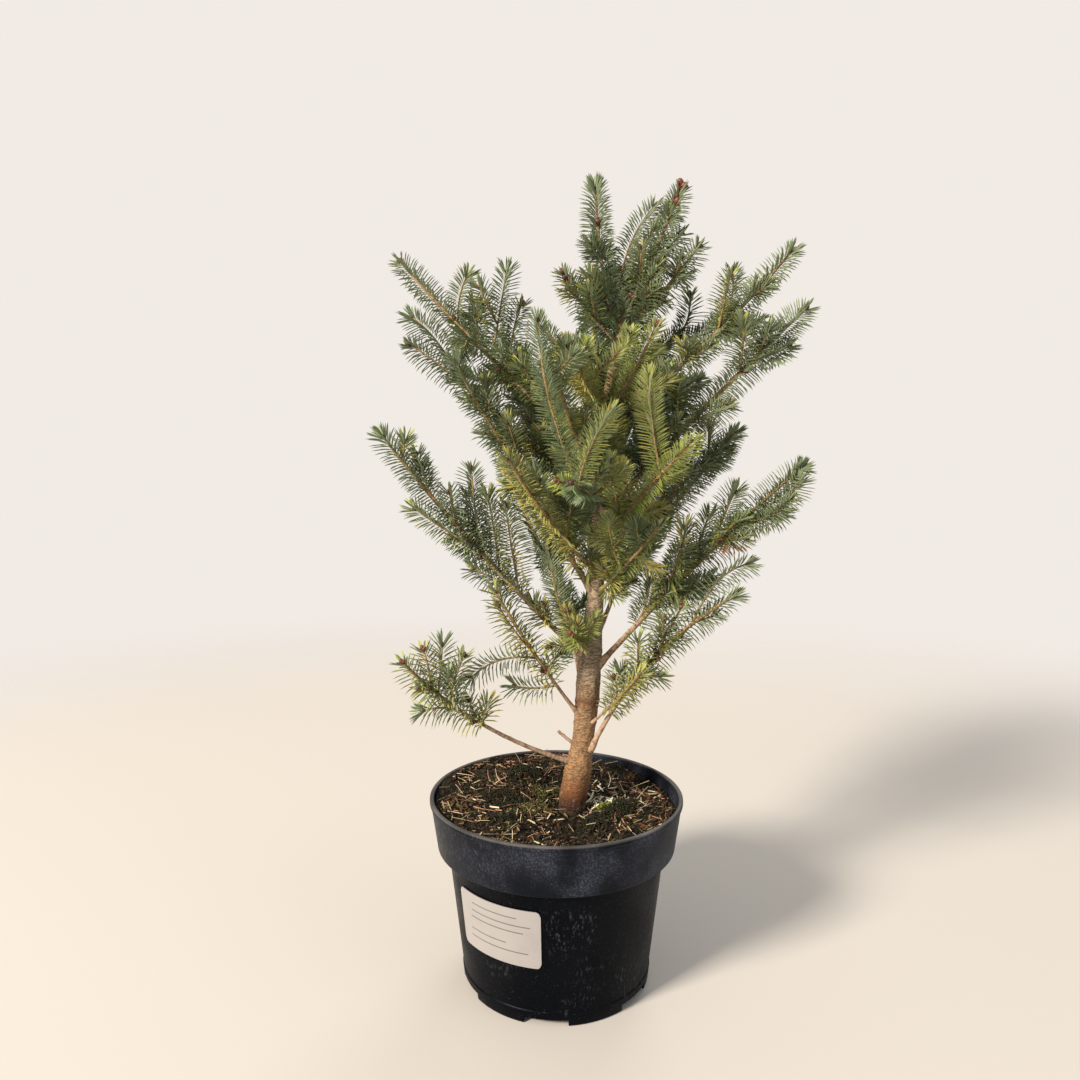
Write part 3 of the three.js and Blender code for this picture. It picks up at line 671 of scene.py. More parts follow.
BOUGHS = [
    bough("lowest_left", 131, 200, 117, 79, bow=0.14, bare=0.46, nodes=3, side=38, roll=62, thin=0.7,
          fine=False, stop=0.97),
    bough("lowest_right", 118, -18, 102, 126, bow=-0.18, bare=0.3, nodes=4, side=34, thin=0.7, fine=False),
    bough("second_left", 157, 200, 62, 90, bare=0.3, nodes=3, side=36, thin=0.5, fine=False),
    bough("second_right", 153, -50, 51, 47, bare=0.35, nodes=1, side=26, roll=30, leaf=YOUNG, thin=0.5,
          fine=False, small=0.95),
    bough("second_back", 160, 97, 86, 74, bare=0.4, side=36, roll=0, leaf=SHADED),
    bough("long_left", 195, 194, 133, 146, bare=0.3, nodes=4, side=50, roll=58, brush=True),
    bough("long_right", 186, -14, 132, 135, bow=-0.03, bare=0.34, nodes=4, side=50, roll=48, thin=1.2,
          brush=True),
    bough("front_cluster", 202, 252, 49, 21, bare=0.35, nodes=1, side=26, roll=0, leaf=YOUNG,
          tones=USUAL_LEAF, green="green", small=0.8),
    bough("back_right", 200, 62, 122, 116, bare=0.36, nodes=3, side=48, roll=10, leaf=SHADED),
    bough("back_left", 205, 121, 118, 122, bare=0.36, nodes=3, side=46, roll=-10, leaf=SHADED),
    bough("middle_left", 236, 202, 96, 150, bow=0.02, bare=0.22, nodes=4),
    bough("front_left", 252, 235, 97, 74, bow=0.08, bare=0.25, side=36, roll=20, small=0.86),
    bough("front_right", 238, -60, 69, 50, bare=0.28, side=34, roll=10, small=0.8),
    bough("middle_right", 245, 24, 112, 103, bare=0.28, nodes=3, roll=50),
    bough("middle_back", 243, 95, 114, 118, bare=0.25, nodes=3, side=46, roll=0, leaf=SHADED),
    bough("right_long", 286, -4, 134, 137, bow=-0.02, bare=0.14, nodes=4, side=44, roll=50, thin=1.4,
          brush=False, small=1.1),
    bough("front_diagonal", 272, -50, 81, 64, bow=0, bare=0.14, side=34, roll=20, leaf=YOUNG, small=0.86),
    bough("upper_left", 300, 192, 125, 106, nodes=3, stop=0.74),
    bough("front_rise", 300, 246, 98, 101, bow=0.06, nodes=4, side=30, roll=20, stop=0.72, small=0.86),
    bough("front_point", 298, 258, 110, 12, bow=0, bare=0.2, side=28, roll=0, leaf=YOUNG,
          tones=USUAL_LEAF, green="blue", small=0.8),
    bough("front_short", 302, -68, 24, 56, bow=0.08, side=26, roll=0, leaf=YOUNG, small=0.86),
    bough("upper_back_right", 300, 60, 104, 112, nodes=3, roll=10, leaf=SHADED),
    bough("upper_back_left", 306, 132, 102, 116, nodes=3, roll=-10, leaf=SHADED),
    bough("top_left", 326, 166, 143, 139, nodes=4, side=58, roll=60, brush=False),
    bough("high_right", 345, 2, 125, 118, bow=0.06, nodes=4, side=50, roll=60, brush=True),
    bough("high_front_right", 350, -56, 53, 57, bow=0.06, side=30, roll=20, leaf=YOUNG, small=0.86),
    bough("high_front_left", 352, 243, 62, 43, bow=0.06, side=28, roll=20, leaf=YOUNG, small=0.86),
    bough("high_left", 358, 178, 63, 97, bow=0.08, nodes=3, side=34, stop=0.6),
    bough("high_back", 355, 95, 74, 98, bow=0.06, nodes=3, side=36, roll=0, leaf=SHADED),
    bough("dark_right", 362, 36, 123, 109, bow=0.06, nodes=3, side=36, roll=50, leaf=SHADED, stop=0.52,
          brush=False),
    bough("dark_middle", 368, 58, 66, 82, bow=0.06, side=28, roll=30, leaf=SHADED),
    bough("crown_left", 400, 190, 38, 47, bow=0.1, side=26),
    bough("crown_right", 404, 5, 55, 63, bow=0.06, side=30),
    bough("crown_back", 394, 88, 34, 74, bow=0.06, side=26, roll=0, leaf=SHADED, stop=0.85),
    bough("left_leader", 408, 172, 16, 99, bow=0.3, bare=0.04, side=22, spread=36, thin=1.9, green="blue",
          brush=True),
    bough("between_leaders", 403, 38, 52, 98, bow=-0.08, bare=0.04, nodes=1, side=20, stop=0.35),
    bough("right_leader", 413, -2, 39, 88, bare=0, nodes=4, side=26, spread=40, thin=1.2, green="green",
          brush=False),
]

print(len(BOUGHS), "boughs,", sum(row["bare"] >= LEAST_LIMB for row in BOUGHS), "of them with a bare limb")


# %% Where the trunk and the boughs run
def trunk_at(height):
    """The trunk's centre and radius at each height."""
    height = np.asarray(height, float)
    right, back, radius = (np.interp(height, TRUNK[:, 0], TRUNK[:, column]) for column in (1, 2, 3))
    return np.stack([right, back, height], -1), radius


def clear_of_trunk(points):
    centre, radius = trunk_at(points[..., 2])
    return np.hypot(points[..., 0] - centre[..., 0], points[..., 1] - centre[..., 1]) - radius


def bough_path(row):
    """The path from the trunk's centre to the bough's tip."""
    toward = math.radians(row["toward"])
    out = np.array([math.cos(toward), math.sin(toward), 0.0])
    start = trunk_at(row["up"])[0]
    middle = start + out * row["reach"] * (0.5 + row["bow"]) + UP * row["rise"] * (0.5 - row["bow"])
    return Path(start, middle, start + out * row["reach"] + UP * row["rise"])


def bough_radius(path, share):
    """Thicker the longer the bough is, and down to a shoot's radius at its tip."""
    thick = LIMB_THIN + LIMB_PER_LENGTH * path.length
    return thick + (SHOOT_RADIUS - thick) * share


def leaves_trunk_at(path):
    """The share of a path at which it comes out of the bark."""
    shares = np.linspace(0, 0.5, 2001)
    return float(shares[np.argmax(clear_of_trunk(path.at(shares)) > GAP)])


paths = [bough_path(row) for row in BOUGHS]
print("the longest bough is", round(max(path.length for path in paths)), "mm")

# %% Side shoots in their own space
SIDE_SHOOT = dict(last=0.9, offset=0.3, longest=1.05, shortening=0.75, uneven=0.5, twist=40, splay=14)
BEND_FORWARD, BEND_UP = 0.35, 0.15
# A side shoot that heads further to the front than this turns aside and up to the light instead.
FRONT_MOST, FRONT_KEPT, TURNED_UP = -0.65, (1, 0.5, 1), 0.4


def side_shoot(start, along, outward, spread, length):
    """A shoot that leaves at an angle, then bends forward and up."""
    first = along * math.cos(spread) + outward * math.sin(spread)
    if first[1] < FRONT_MOST:
        first = unit(first * FRONT_KEPT + UP * TURNED_UP)
    second = unit(first + along * BEND_FORWARD + UP * BEND_UP)
    middle = start + first * length / 2
    return Path(start, middle, middle + second * length / 2)


def wanted_shoots(row, path, seed):
    """The pairs of side shoots that a bough wants, each with its node's share of the bough."""
    rule = SIDE_SHOOT
    for node in range(row["nodes"]):
        share = row["bare"] + (rule["last"] - row["bare"]) * (node + rule["offset"]) / row["nodes"]
        along = path.along(share)
        side, _ = across(along, row["roll"] + rule["twist"] * (chance(seed, node, 3) - 0.5))
        even = row["side"] * (rule["longest"] - rule["shortening"] * node / row["nodes"])
        for hand, turn in ((0, 1), (1, -1)):
            length = even * (1 + rule["uneven"] * (chance(seed, node, hand) - 0.5))
            spread = math.radians(row["spread"] + rule["splay"] * (chance(seed, node, hand + 5) - 0.5))
            yield side_shoot(path.at(share), along, side * turn, spread, length), share


print("each pair's shoots lean", USUAL["spread"], "degrees from their bough")


# %% Space that is taken
CLEAR_OF_SHOOTS, CLEAR_OF_BARK = 4.5, 3.0
PIECE = 8.0  # length of the straight pieces that distances are measured to


class Space:
    """The straight pieces of what has grown so far, and how near a point comes to them."""

    def __init__(self):
        self.starts, self.ends, self.owners, self.radii = [], [], [], []

    def take(self, path, first, last, owner, radius_at):
        steps = max(2, math.floor(path.length * (last - first) / PIECE + 0.5))
        shares = first + (last - first) * np.arange(steps + 1) / steps
        points = path.at(shares)
        self.starts.extend(points[:-1])
        self.ends.extend(points[1:])
        self.owners.extend([owner] * steps)
        self.radii.extend(radius_at((a + b) / 2) for a, b in zip(shares[:-1], shares[1:]))

    def distances(self, points):
        """From each point, a row, to each piece, a column."""
        start, end = np.array(self.starts), np.array(self.ends)
        line = end - start
        reach = points[:, None] - start
        share = np.clip((reach * line).sum(-1) / (line * line).sum(-1), 0, 1)
        return np.linalg.norm(reach - line * share[..., None], axis=-1)


def same_radius(share):
    return SHOOT_RADIUS


def has_limb(row):
    return row["bare"] >= LEAST_LIMB


limbs, shoots = Space(), Space()
for owner, (row, path) in enumerate(zip(BOUGHS, paths)):
    def radius_at(share, path=path):
        return bough_radius(path, share)

    if has_limb(row):
        limbs.take(path, 0.05, row["bare"] - 0.01, owner, radius_at)
        row["from"] = row["bare"] + GAP / path.length
    elif row["up"] >= TRUNK[-1, 0]:
        row["from"] = GAP / path.length
    else:
        row["from"] = leaves_trunk_at(path)
    shoots.take(path, row["from"], 1, owner, radius_at)
stub_path = bough_path(STUB)
limbs.take(stub_path, 0.1, 1, -1, lambda share: STUB["radius"])
print("limbs in", len(limbs.starts), "straight pieces, boughs in", len(shoots.starts))


# %% Room for a shoot
def stays_in_its_space(path, owner):
    """Whether a shoot keeps off the trunk, the limbs and the foliage of other boughs."""
    points = path.at(np.linspace(0, 1, 9))
    foreign = np.array(shoots.owners) != owner
    near_shoots = shoots.distances(points)[:, foreign].min() <= CLEAR_OF_SHOOTS
    near_limbs = (limbs.distances(points[2:]) - np.array(limbs.radii)).min() <= CLEAR_OF_BARK
    return not near_shoots and not near_limbs and clear_of_trunk(points).min() > CLEAR_OF_BARK


print("the lowest bough's own line has room:", bool(stays_in_its_space(paths[0], 0)))

# %% [markdown]
# ## Drawn shoots
#
# Chance alone doesn't give the outline of this one plant. So its most telling shoots are drawn one
# by one in the camera's frame, as are the gaps between the boughs that the sky shows through. Where
# a drawn place lies in the room follows from the camera and from how far back it is.

# %% Places in the camera's frame
EYE = np.array(CAMERA_AT)


def in_frame(points):
    """How far across and down its frame the camera sees points, in pixels."""
    scale = FOCAL / (points[..., 1] - EYE[1])
    from_left = PICTURE / 2 + (points[..., 0] - EYE[0]) * scale
    return np.stack([from_left, HORIZON + (EYE[2] - points[..., 2]) * scale], -1)


def in_room(place, back):
    """The point that the camera sees at a place in its frame, this far back."""
    scale = (back - EYE[1]) / FOCAL
    return np.array([EYE[0] + (place[0] - PICTURE / 2) * scale, back, EYE[2] + (HORIZON - place[1]) * scale])


def table(text):
    """The rows of a text, as lists of words and numbers."""
    rows = [line.split() for line in text.strip().split("\n")]
    return [[float(word) if word[-1].isdigit() else word for word in row] for row in rows]


print("the middle of the frame is at", in_room((PICTURE / 2, PICTURE / 2), 0.0).round(1))

# %% Shoots chosen one by one
# Each row has a bough, the place where the shoot leaves it, a place that the shoot passes and the
# place of its tip, all across and down the frame in pixels. Then come the two distances that the
# passed place and the tip lie behind the shoot's foot, in millimetres, and its own green.
CHOSEN = table("""
top_left 463 320 460 294 470 271 -4 -8 pale
top_left 493 357 499 315 508 263 -2 -4 blue
top_left 511 374 513 333 524 300 6 10 deep
top_left 470 337 464 348 461 360 -3 -6 deep
top_left 530 397 522 372 518 350 -6 -10 green
upper_left 460 381 435 340 407 314 2 4 blue
upper_left 466 386 432 360 405 342 -4 -6 deep
upper_left 497 413 488 393 486 374 -4 -6 green
between_leaders 618 318 626 256 660 200 -2 -4 blue
between_leaders 632 300 642 258 657 224 -6 -10 young
right_leader 650 268 668 248 685 230 6 10 blue
right_leader 624 316 612 292 616 268 4 8 green
left_leader 612 298 596 284 586 271 -4 -6 olive
crown_left 600 318 592 300 588 290 -8 -12 green
dark_right 686 346 688 318 689 285 -2 -4 deep
dark_right 690 350 722 322 733 260 -6 -12 deep
right_long 742 373 743 345 745 316 -4 -8 green
right_long 755 360 776 353 792 343 2 4 blue
high_right 690 360 686 350 683 340 -5 -8 olive
right_long 676 437 677 400 705 376 6 8 blue
middle_right 706 464 718 452 731 447 -3 -6 deep
middle_right 668 505 673 489 681 475 -4 -8 olive
long_right 712 547 724 515 738 485 -4 -8 young
long_right 718 541 732 526 748 519 -8 -12 young
long_right 750 512 772 516 790 507 2 4 green
long_right 722 537 736 541 753 535 -8 -10 dry
long_right 690 567 684 545 686 520 -4 -8 olive
lowest_right 690 620 720 580 754 564 4 6 blue
lowest_right 655 652 662 640 661 628 -2 -3 olive
long_left 476 553 475 508 471 461 -2 -4 blue
long_left 520 594 511 545 504 499 -6 -10 olive
long_left 474 550 441 527 410 504 -6 -10 pale
long_left 410 458 404 447 406 436 -5 -8 green
long_left 545 626 537 612 531 598 -3 -5 olive
long_left 548 628 544 614 542 601 -5 -8 olive
middle_left 535 500 519 458 506 415 -10 -18 olive
middle_left 532 497 517 488 505 490 -6 -10 green
front_cluster 575 655 558 600 549 542 4 8 silver
front_cluster 578 650 572 625 566 604 -2 -4 olive
front_cluster 575 655 560 645 546 648 -4 -8 green
lowest_left 443 690 441 664 442 638 2 4 blue
lowest_left 444 691 428 690 414 690 -5 -8 green
lowest_left 460 708 438 708 415 713 -2 -4 silver
lowest_left 452 698 457 674 466 651 -3 -6 green
lowest_left 480 722 472 709 467 695 -2 -4 green
lowest_left 482 723 485 711 489 698 -3 -5 olive
second_left 534 661 497 661 466 684 -2 -6 blue
second_left 550 690 530 688 508 684 -4 -8 silver
second_left 541 676 553 661 569 648 -4 -6 green
front_point 577 488 592 443 617 403 -6 -10 green
front_point 580 488 549 400 537 313 4 8 blue
front_point 580 490 565 484 554 480 -10 -20 young
front_diagonal 656 470 652 418 650 370 -2 -4 green
front_diagonal 625 500 625 480 622 462 -8 -14 sunlit
front_rise 566 385 566 360 565 340 -4 -8 blue
front_rise 562 372 568 361 577 352 -8 -12 silver
high_front_left 606 372 622 350 628 330 -8 -14 young
middle_right 650 545 658 526 666 508 -10 -18 young
front_right 620 565 640 555 658 541 -4 -8 green
long_right 665 597 682 560 713 541 -4 -6 olive
lowest_right 656 655 671 625 683 603 -4 -6 olive
lowest_right 661 648 663 630 664 613 -3 -5 deep
lowest_right 632 690 640 678 650 664 -5 -8 young
lowest_right 640 682 652 677 664 677 -5 -9 young
long_right 668 592 690 590 712 583 -2 -4 olive
second_right 610 705 617 690 612 670 -3 -6 silver
front_right 608 585 622 584 641 577 -3 -5 green
front_right 612 582 607 572 601 562 -6 -10 olive
middle_left 576 567 572 553 562 533 -6 -10 olive
middle_left 584 580 589 566 590 544 -7.5 -12 green
front_left 579 555 573 545 560 533 -5.2 -9 olive
long_right 762 515 786 496 800 476 -4 -8 olive
long_right 738 528 768 517 797 493 -8 -14 green
long_right 700 562 702 536 713 508 4 6 green
long_right 640 628 646 602 650 574 -4 -8 green
long_right 652 612 662 598 684 585 -6 -10 olive
front_right 640 560 650 566 660 566 -2 -4 olive
second_left 533 655 512 628 495 600 -3 -6 olive
right_long 690 425 712 412 735 404 -4 -8 olive
middle_right 692 483 714 455 737 434 -3 -5 deep
front_right 605 586 612 594 629 588 -6 -12 green
front_right 609 582 612 580 623 565 -8 -14 olive
long_left 500 573 494 530 486 490 -4 -8 green
lowest_left 431 689 428 664 421 645 -2 -3 olive
lowest_left 459 710 452 690 449 669 -6 -10 silver
lowest_right 623 695 624 680 618 668 -3 -5 silver
""")
FEET = np.linspace(0.06, 1, 471)  # the shares of a bough that a chosen shoot may leave it at


def drawn_shoot(bough_line, foot, passed, tip, passed_back, tip_back):
    """A shoot as drawn, to the nearest millimetre and hundredth of its bough."""
    off = np.linalg.norm(in_frame(bough_line.at(FEET)) - foot, axis=-1)
    start = bough_line.at(round(float(FEET[np.argmin(off)]), 2))
    through, end = in_room(passed, start[1] + passed_back), in_room(tip, start[1] + tip_back)
    pull = 2 * through - (start + end) / 2
    return Path(start, start + np.round(pull - start), start + np.round(end - start))


print(len(CHOSEN), "chosen shoots")

# %% Gaps that the sky shows through
# Across and down the frame, and half the width and height, in pixels.
SKY = (
    (655, 560, 10, 9), (682, 522, 15, 12), (540, 558, 10, 14), (528, 505, 12, 24), (422, 288, 34, 27),
    (412, 340, 28, 24), (480, 355, 12, 14), (498, 392, 8, 12), (562, 312, 16, 20), (670, 328, 12, 20),
    (640, 334, 14, 9), (717, 362, 18, 16), (756, 268, 11, 13), (782, 288, 11, 11), (707, 275, 9, 34),
    (748, 395, 14, 12), (707, 494, 16, 16), (762, 480, 12, 14), (400, 472, 16, 16), (447, 468, 12, 14),
    (502, 480, 13, 14), (524, 528, 20, 26), (532, 636, 20, 20), (513, 605, 14, 20), (683, 650, 12, 10),
    (766, 556, 14, 14), (440, 300, 16, 18), (452, 412, 14, 18), (472, 448, 10, 14), (494, 492, 10, 16),
    (440, 560, 16, 14), (463, 582, 14, 12), (536, 550, 10, 24), (738, 428, 11, 24), (733, 488, 14, 10),
    (612, 735, 10, 14), (660, 690, 26, 22), (620, 618, 14, 26), (435, 736, 40, 9), (530, 328, 8, 22),
    (545, 612, 9, 22), (790, 545, 16, 14), (648, 735, 30, 14), (585, 700, 10, 20), (600, 635, 11, 12),
)
SKY_PIXEL = -EYE[1] / FOCAL  # the size of a pixel in the upright plane through the pot's middle
CLEAR_OF_CHOSEN = 9.0  # a shoot of chance keeps its outer half this far from every chosen one
OUTER_HALF = np.linspace(0.5, 1, 5)
numbers = {row["name"]: number for number, row in enumerate(BOUGHS)}
chosen = Space()
# The gaps in that plane, to the nearest millimetre: right, up, half the width and height.
gaps = np.array([(*in_room(gap[:2], 0.0)[[0, 2]], *np.multiply(gap[2:], SKY_PIXEL)) for gap in SKY]).round()


def spray_of(path, owner, order, green=None, start=0.0, stop=1.0):
    """A needled stretch of a path. Order 0 is a bough's own line, 1 a side shoot, 2 a fork of it."""
    return dict(path=path, owner=owner, order=order, green=green, start=start, stop=stop)


def has_room(path):
    """Whether a shoot of chance leaves the chosen ones and the gaps between the boughs open."""
    outer = path.at(OUTER_HALF)
    if chosen.distances(outer).min() < CLEAR_OF_CHOSEN:
        return False
    seen = EYE + (outer - EYE) * (EYE[1] / (EYE[1] - outer[:, 1:2]))
    right, up, wide, high = gaps.T
    aside, above = seen[:, :1] - right, seen[:, 2:] - up
    return bool((((aside / wide) ** 2 + (above / high) ** 2) > 1).all())


print(len(SKY), "gaps that stay open")

# %% Growing the shoots
sprays = [spray_of(path, owner, 0, start=row["from"], stop=row["stop"])
          for owner, (row, path) in enumerate(zip(BOUGHS, paths))]
for name, *places, passed_back, tip_back, green in CHOSEN:
    owner = numbers[name]
    path = drawn_shoot(paths[owner], *np.reshape(places, (3, 2)), passed_back, tip_back)
    sprays.append(spray_of(path, owner, 1, green))
    chosen.take(path, 0.25, 1, owner, same_radius)
for owner, (row, path) in enumerate(zip(BOUGHS, paths)):
    for shoot, share in wanted_shoots(row, path, owner + 1):
        if share < row["stop"] and has_room(shoot) and stays_in_its_space(shoot, owner):
            sprays.append(spray_of(shoot, owner, 1))
            shoots.take(shoot, 0, 1, owner, same_radius)
print(len(sprays), "main and side shoots,", round(sum(s["path"].length for s in sprays)), "mm of them")

# %% [markdown]
# The solids stop at side shoots. On the real plant last year's twigs fork once more, and a third
# shoot often stands up between a pair. Both are added here by the same kind of rule, shorter than
# the shoots they stand on, so that they stay inside the same reach.

# %% Finer twigs
FORK = dict(at=0.4, long=0.52, spread=46, twist=60, least=27.0)  # a pair on each side shoot this long
CREST = dict(last=0.82, offset=0.55, long=0.66, shortening=0.5, spread=40, twist=30)  # up from a pair
UNEVEN_FROM, UNEVEN_BY = 0.8, 0.4  # a fine twig's length beside its even one: the least, and how much more
APART = 5.0  # the outer half of a fine twig keeps this clear of its own bough's shoots


def uneven(*keys):
    return UNEVEN_FROM + UNEVEN_BY * chance(*keys)


def keeps_apart(twig, owner):
    mine = np.array(shoots.owners) == owner
    return shoots.distances(twig.at(OUTER_HALF))[:, mine].min() > APART


def grow(twig, owner, order):
    """Adds a fine twig where there is room for it."""
    if has_room(twig) and stays_in_its_space(twig, owner) and keeps_apart(twig, owner):
        sprays.append(spray_of(twig, owner, order))
        shoots.take(twig, 0, 1, owner, same_radius)


def grow_crests(owner):
    """The upright and the hanging shoot between each pair of a bough."""
    row, path = BOUGHS[owner], paths[owner]
    for node in range(row["nodes"]):
        share = row["bare"] + (CREST["last"] - row["bare"]) * (node + CREST["offset"]) / row["nodes"]
        if share > row["stop"]:
            continue
        along = path.along(share)
        _, top = across(along, row["roll"] + CREST["twist"] * (chance(owner, node, 8) - 0.5))
        length = row["side"] * CREST["long"] * (1 - CREST["shortening"] * node / row["nodes"])
        length *= uneven(owner, node, 9)
        for turn in (1, -1):
            spread = math.radians(CREST["spread"])
            grow(side_shoot(path.at(share), along, top * turn, spread, length), owner, 1)


def grow_forks(path, owner):
    """A pair of forks on a side shoot."""
    seed = round(path.length * 10)
    along = path.along(FORK["at"])
    side, _ = across(along, BOUGHS[owner]["roll"] + FORK["twist"] * (chance(seed, owner, 1) - 0.5))
    for turn in (1, -1):
        length = path.length * FORK["long"] * uneven(seed, owner, turn + 3)
        fork = side_shoot(path.at(FORK["at"]), along, side * turn, math.radians(FORK["spread"]), length)
        grow(fork, owner, 2)


fine_boughs = [owner for owner, row in enumerate(BOUGHS) if row["fine"]]
for owner in fine_boughs:
    grow_crests(owner)
for spray in list(sprays):
    if spray["order"] == 1 and spray["owner"] in fine_boughs and spray["path"].length > FORK["least"]:
        grow_forks(spray["path"], spray["owner"])
print(len(sprays), "shoots in all,", round(sum(s["path"].length for s in sprays)), "mm of them")

# %% [markdown]
# ## Needles
#
# A fir needle is a flat blade with a narrow foot and a blunt tip, flat above and keeled below. Each
# one here is a closed body of nine faces: three above, which take the shoot's green, and six round
# the keel, which take the silver of the underside. The needles stand round the shoot in five rows.
# Those beneath swing out to the sides, and near the tip they close round the bud.
#
# The greens are plain colours dealt out by shoot, with a lighter and a darker needle here and
# there, as sun, shade and age do on the real plant.

# %% The greens
GREENS = {name: Finish("needle_" + name, shade(*color), 0.5, Specular_IOR_Level=0.35) for name, color in {
    "deep": (90, 97, 54),
    "blue": (112, 128, 92),
    "green": (138, 145, 78),
    "olive": (162, 153, 80),
    "sunlit": (174, 166, 92),
    "young": (154, 164, 80),
    "silver": (150, 160, 124),
    "under": (126, 138, 106),
    "pale": (172, 178, 126),
    "dry": (162, 114, 70),
}.items()}
# The greens of fresh growth, and the sunlit green, which is painted sunlight.
FRESH_AND_SUNLIT = ("young", "pale", "sunlit")
TINT = {name: index for index, name in enumerate(GREENS)}
# For each kind of foliage, the shoots' greens, and the underside that goes with them.
DEALT = {
    USUAL_LEAF: (["green", "blue", "green", "olive", "deep", "green"], "under"),
    YOUNG: (["sunlit", "olive", "young", "green"], "pale"),
    SHADED: (["deep", "blue", "deep", "green"], "blue"),
}
# The green that a few needles of a shoot have instead of its own, and that of its lighter tips.
NEIGHBOUR = dict(deep="green", blue="deep", green="olive", olive="green", sunlit="olive", young="green")
LIGHTER = dict(deep="blue", blue="silver", green="young", olive="sunlit", sunlit="young", young="pale")
print(len(GREENS), "plain colours")

# %% How a needle stands
random = np.random.default_rng(55)
NEEDLE = dict(per_mm=2.75, long=13.6, wide=1.35, thick=0.55)
FEWEST = 8  # needles on the shortest shoot
RANK = math.radians(144)  # between one needle and the next: five rows round the shoot
SPIRAL, STRAY = 0.012, 0.1  # how far the rows turn with each mm, and how far a needle strays from its row
BENEATH = 0.3  # on a level shoot the needles beneath swing out this much
LEAN = (48.0, 66.0, 34.0)  # degrees from the shoot near its tip and lower down, and over how many mm
TIP_LEAN, TIP_REACH = 22.0, 4.5  # at the tip itself they close up
ARCH, TIP_STRAIGHT = 35.7, 0.6  # how much further a needle leans at its end, less so near the tip
SAG = 0.1  # how far a needle's end drops on a level shoot
# Its length at the shoot's foot, more over the first mm, less on top and near the tip.
LONG = dict(foot=0.76, more=0.24, over=7, top=0.2, brush=0.12, buds=0.3, uneven=(0.92, 1.04))
FACE = dict(up=0.25, level=0.3)  # how much it faces the sky, and how much more on a level shoot
LEAST_SHARE = 0.3  # of its path that a shoot covers
TIP_ROOM = 5.5  # the shoot itself ends this far short of its path
# Small foliage stands at the front. It reaches for the light and turns its upper faces to it.
FRONT_SMALL, FRONT_ARCH, STEEPER = 0.87, 21.0, 8.0
TO_LIGHT = np.array([-0.2, -0.8, 0.2])
print("a shoot of 40 mm has about", round(40 * NEEDLE["per_mm"]), "needles")

# %% Tips and tints
BRUSHED = dict(fresh=0.75, usual=0.4)  # the share of shoots that end in a brush of needles
# How many needles stand round the tip: of a bough, a side shoot, any shoot at the front, bare buds.
CROWN = dict(bough=26, side=15, front=10, buds=6)
CROWN_DEEP = 1.5  # over how many mm
BRUSH_LEAN, BUDS_LEAN = (4, 42), (24, 44)  # degrees from the shoot
LEAST_CHOSEN = 0.7  # a chosen shoot isn't thinner than this
NEIGHBOURS, LIGHT_TIPPED = 0.2, 0.4  # the shares of needles with the neighbour's green, and of light tips
LIGHT_LONG, LIGHT_SHARE = 10, 0.7


def tip_share(path, stop=1.0):
    """The share of its path at which a shoot ends."""
    return max(LEAST_SHARE, stop - TIP_ROOM / path.length)


def green_of(spray, row, shades):
    """The green that is chosen for a shoot, or one of its kind's greens by chance."""
    own = spray["green"] or (row["green"] if spray["order"] == 0 else None)
    return own or shades[int(random.integers(len(shades)))]


def ends_in_brush(spray, row, green):
    brush = random.random() < BRUSHED["fresh" if green in FRESH_AND_SUNLIT else "usual"]
    return row["brush"] if spray["order"] == 0 and row["brush"] is not None else brush


def crown_of(spray, row, at_front):
    """How many needles stand round the tip."""
    if not spray["brush"]:
        return CROWN["buds"]
    if at_front:
        return CROWN["front"]
    return int(CROWN["bough"] * row["thin"]) if spray["order"] == 0 else CROWN["side"]


def tints_on(green, to_tip, at_front):
    """Each needle's green: the shoot's own, now and then its neighbour, on some a lighter one."""
    count = len(to_tip)
    tint = np.where(random.random(count) < NEIGHBOURS, TINT[NEIGHBOUR.get(green, green)], TINT[green])
    if random.random() < LIGHT_TIPPED and not at_front:
        light = (to_tip < LIGHT_LONG) & (random.random(count) < LIGHT_SHARE)
        tint = np.where(light, TINT[LIGHTER.get(green, green)], tint)
    return tint


print("a side shoot's brush has", CROWN["side"], "needles")


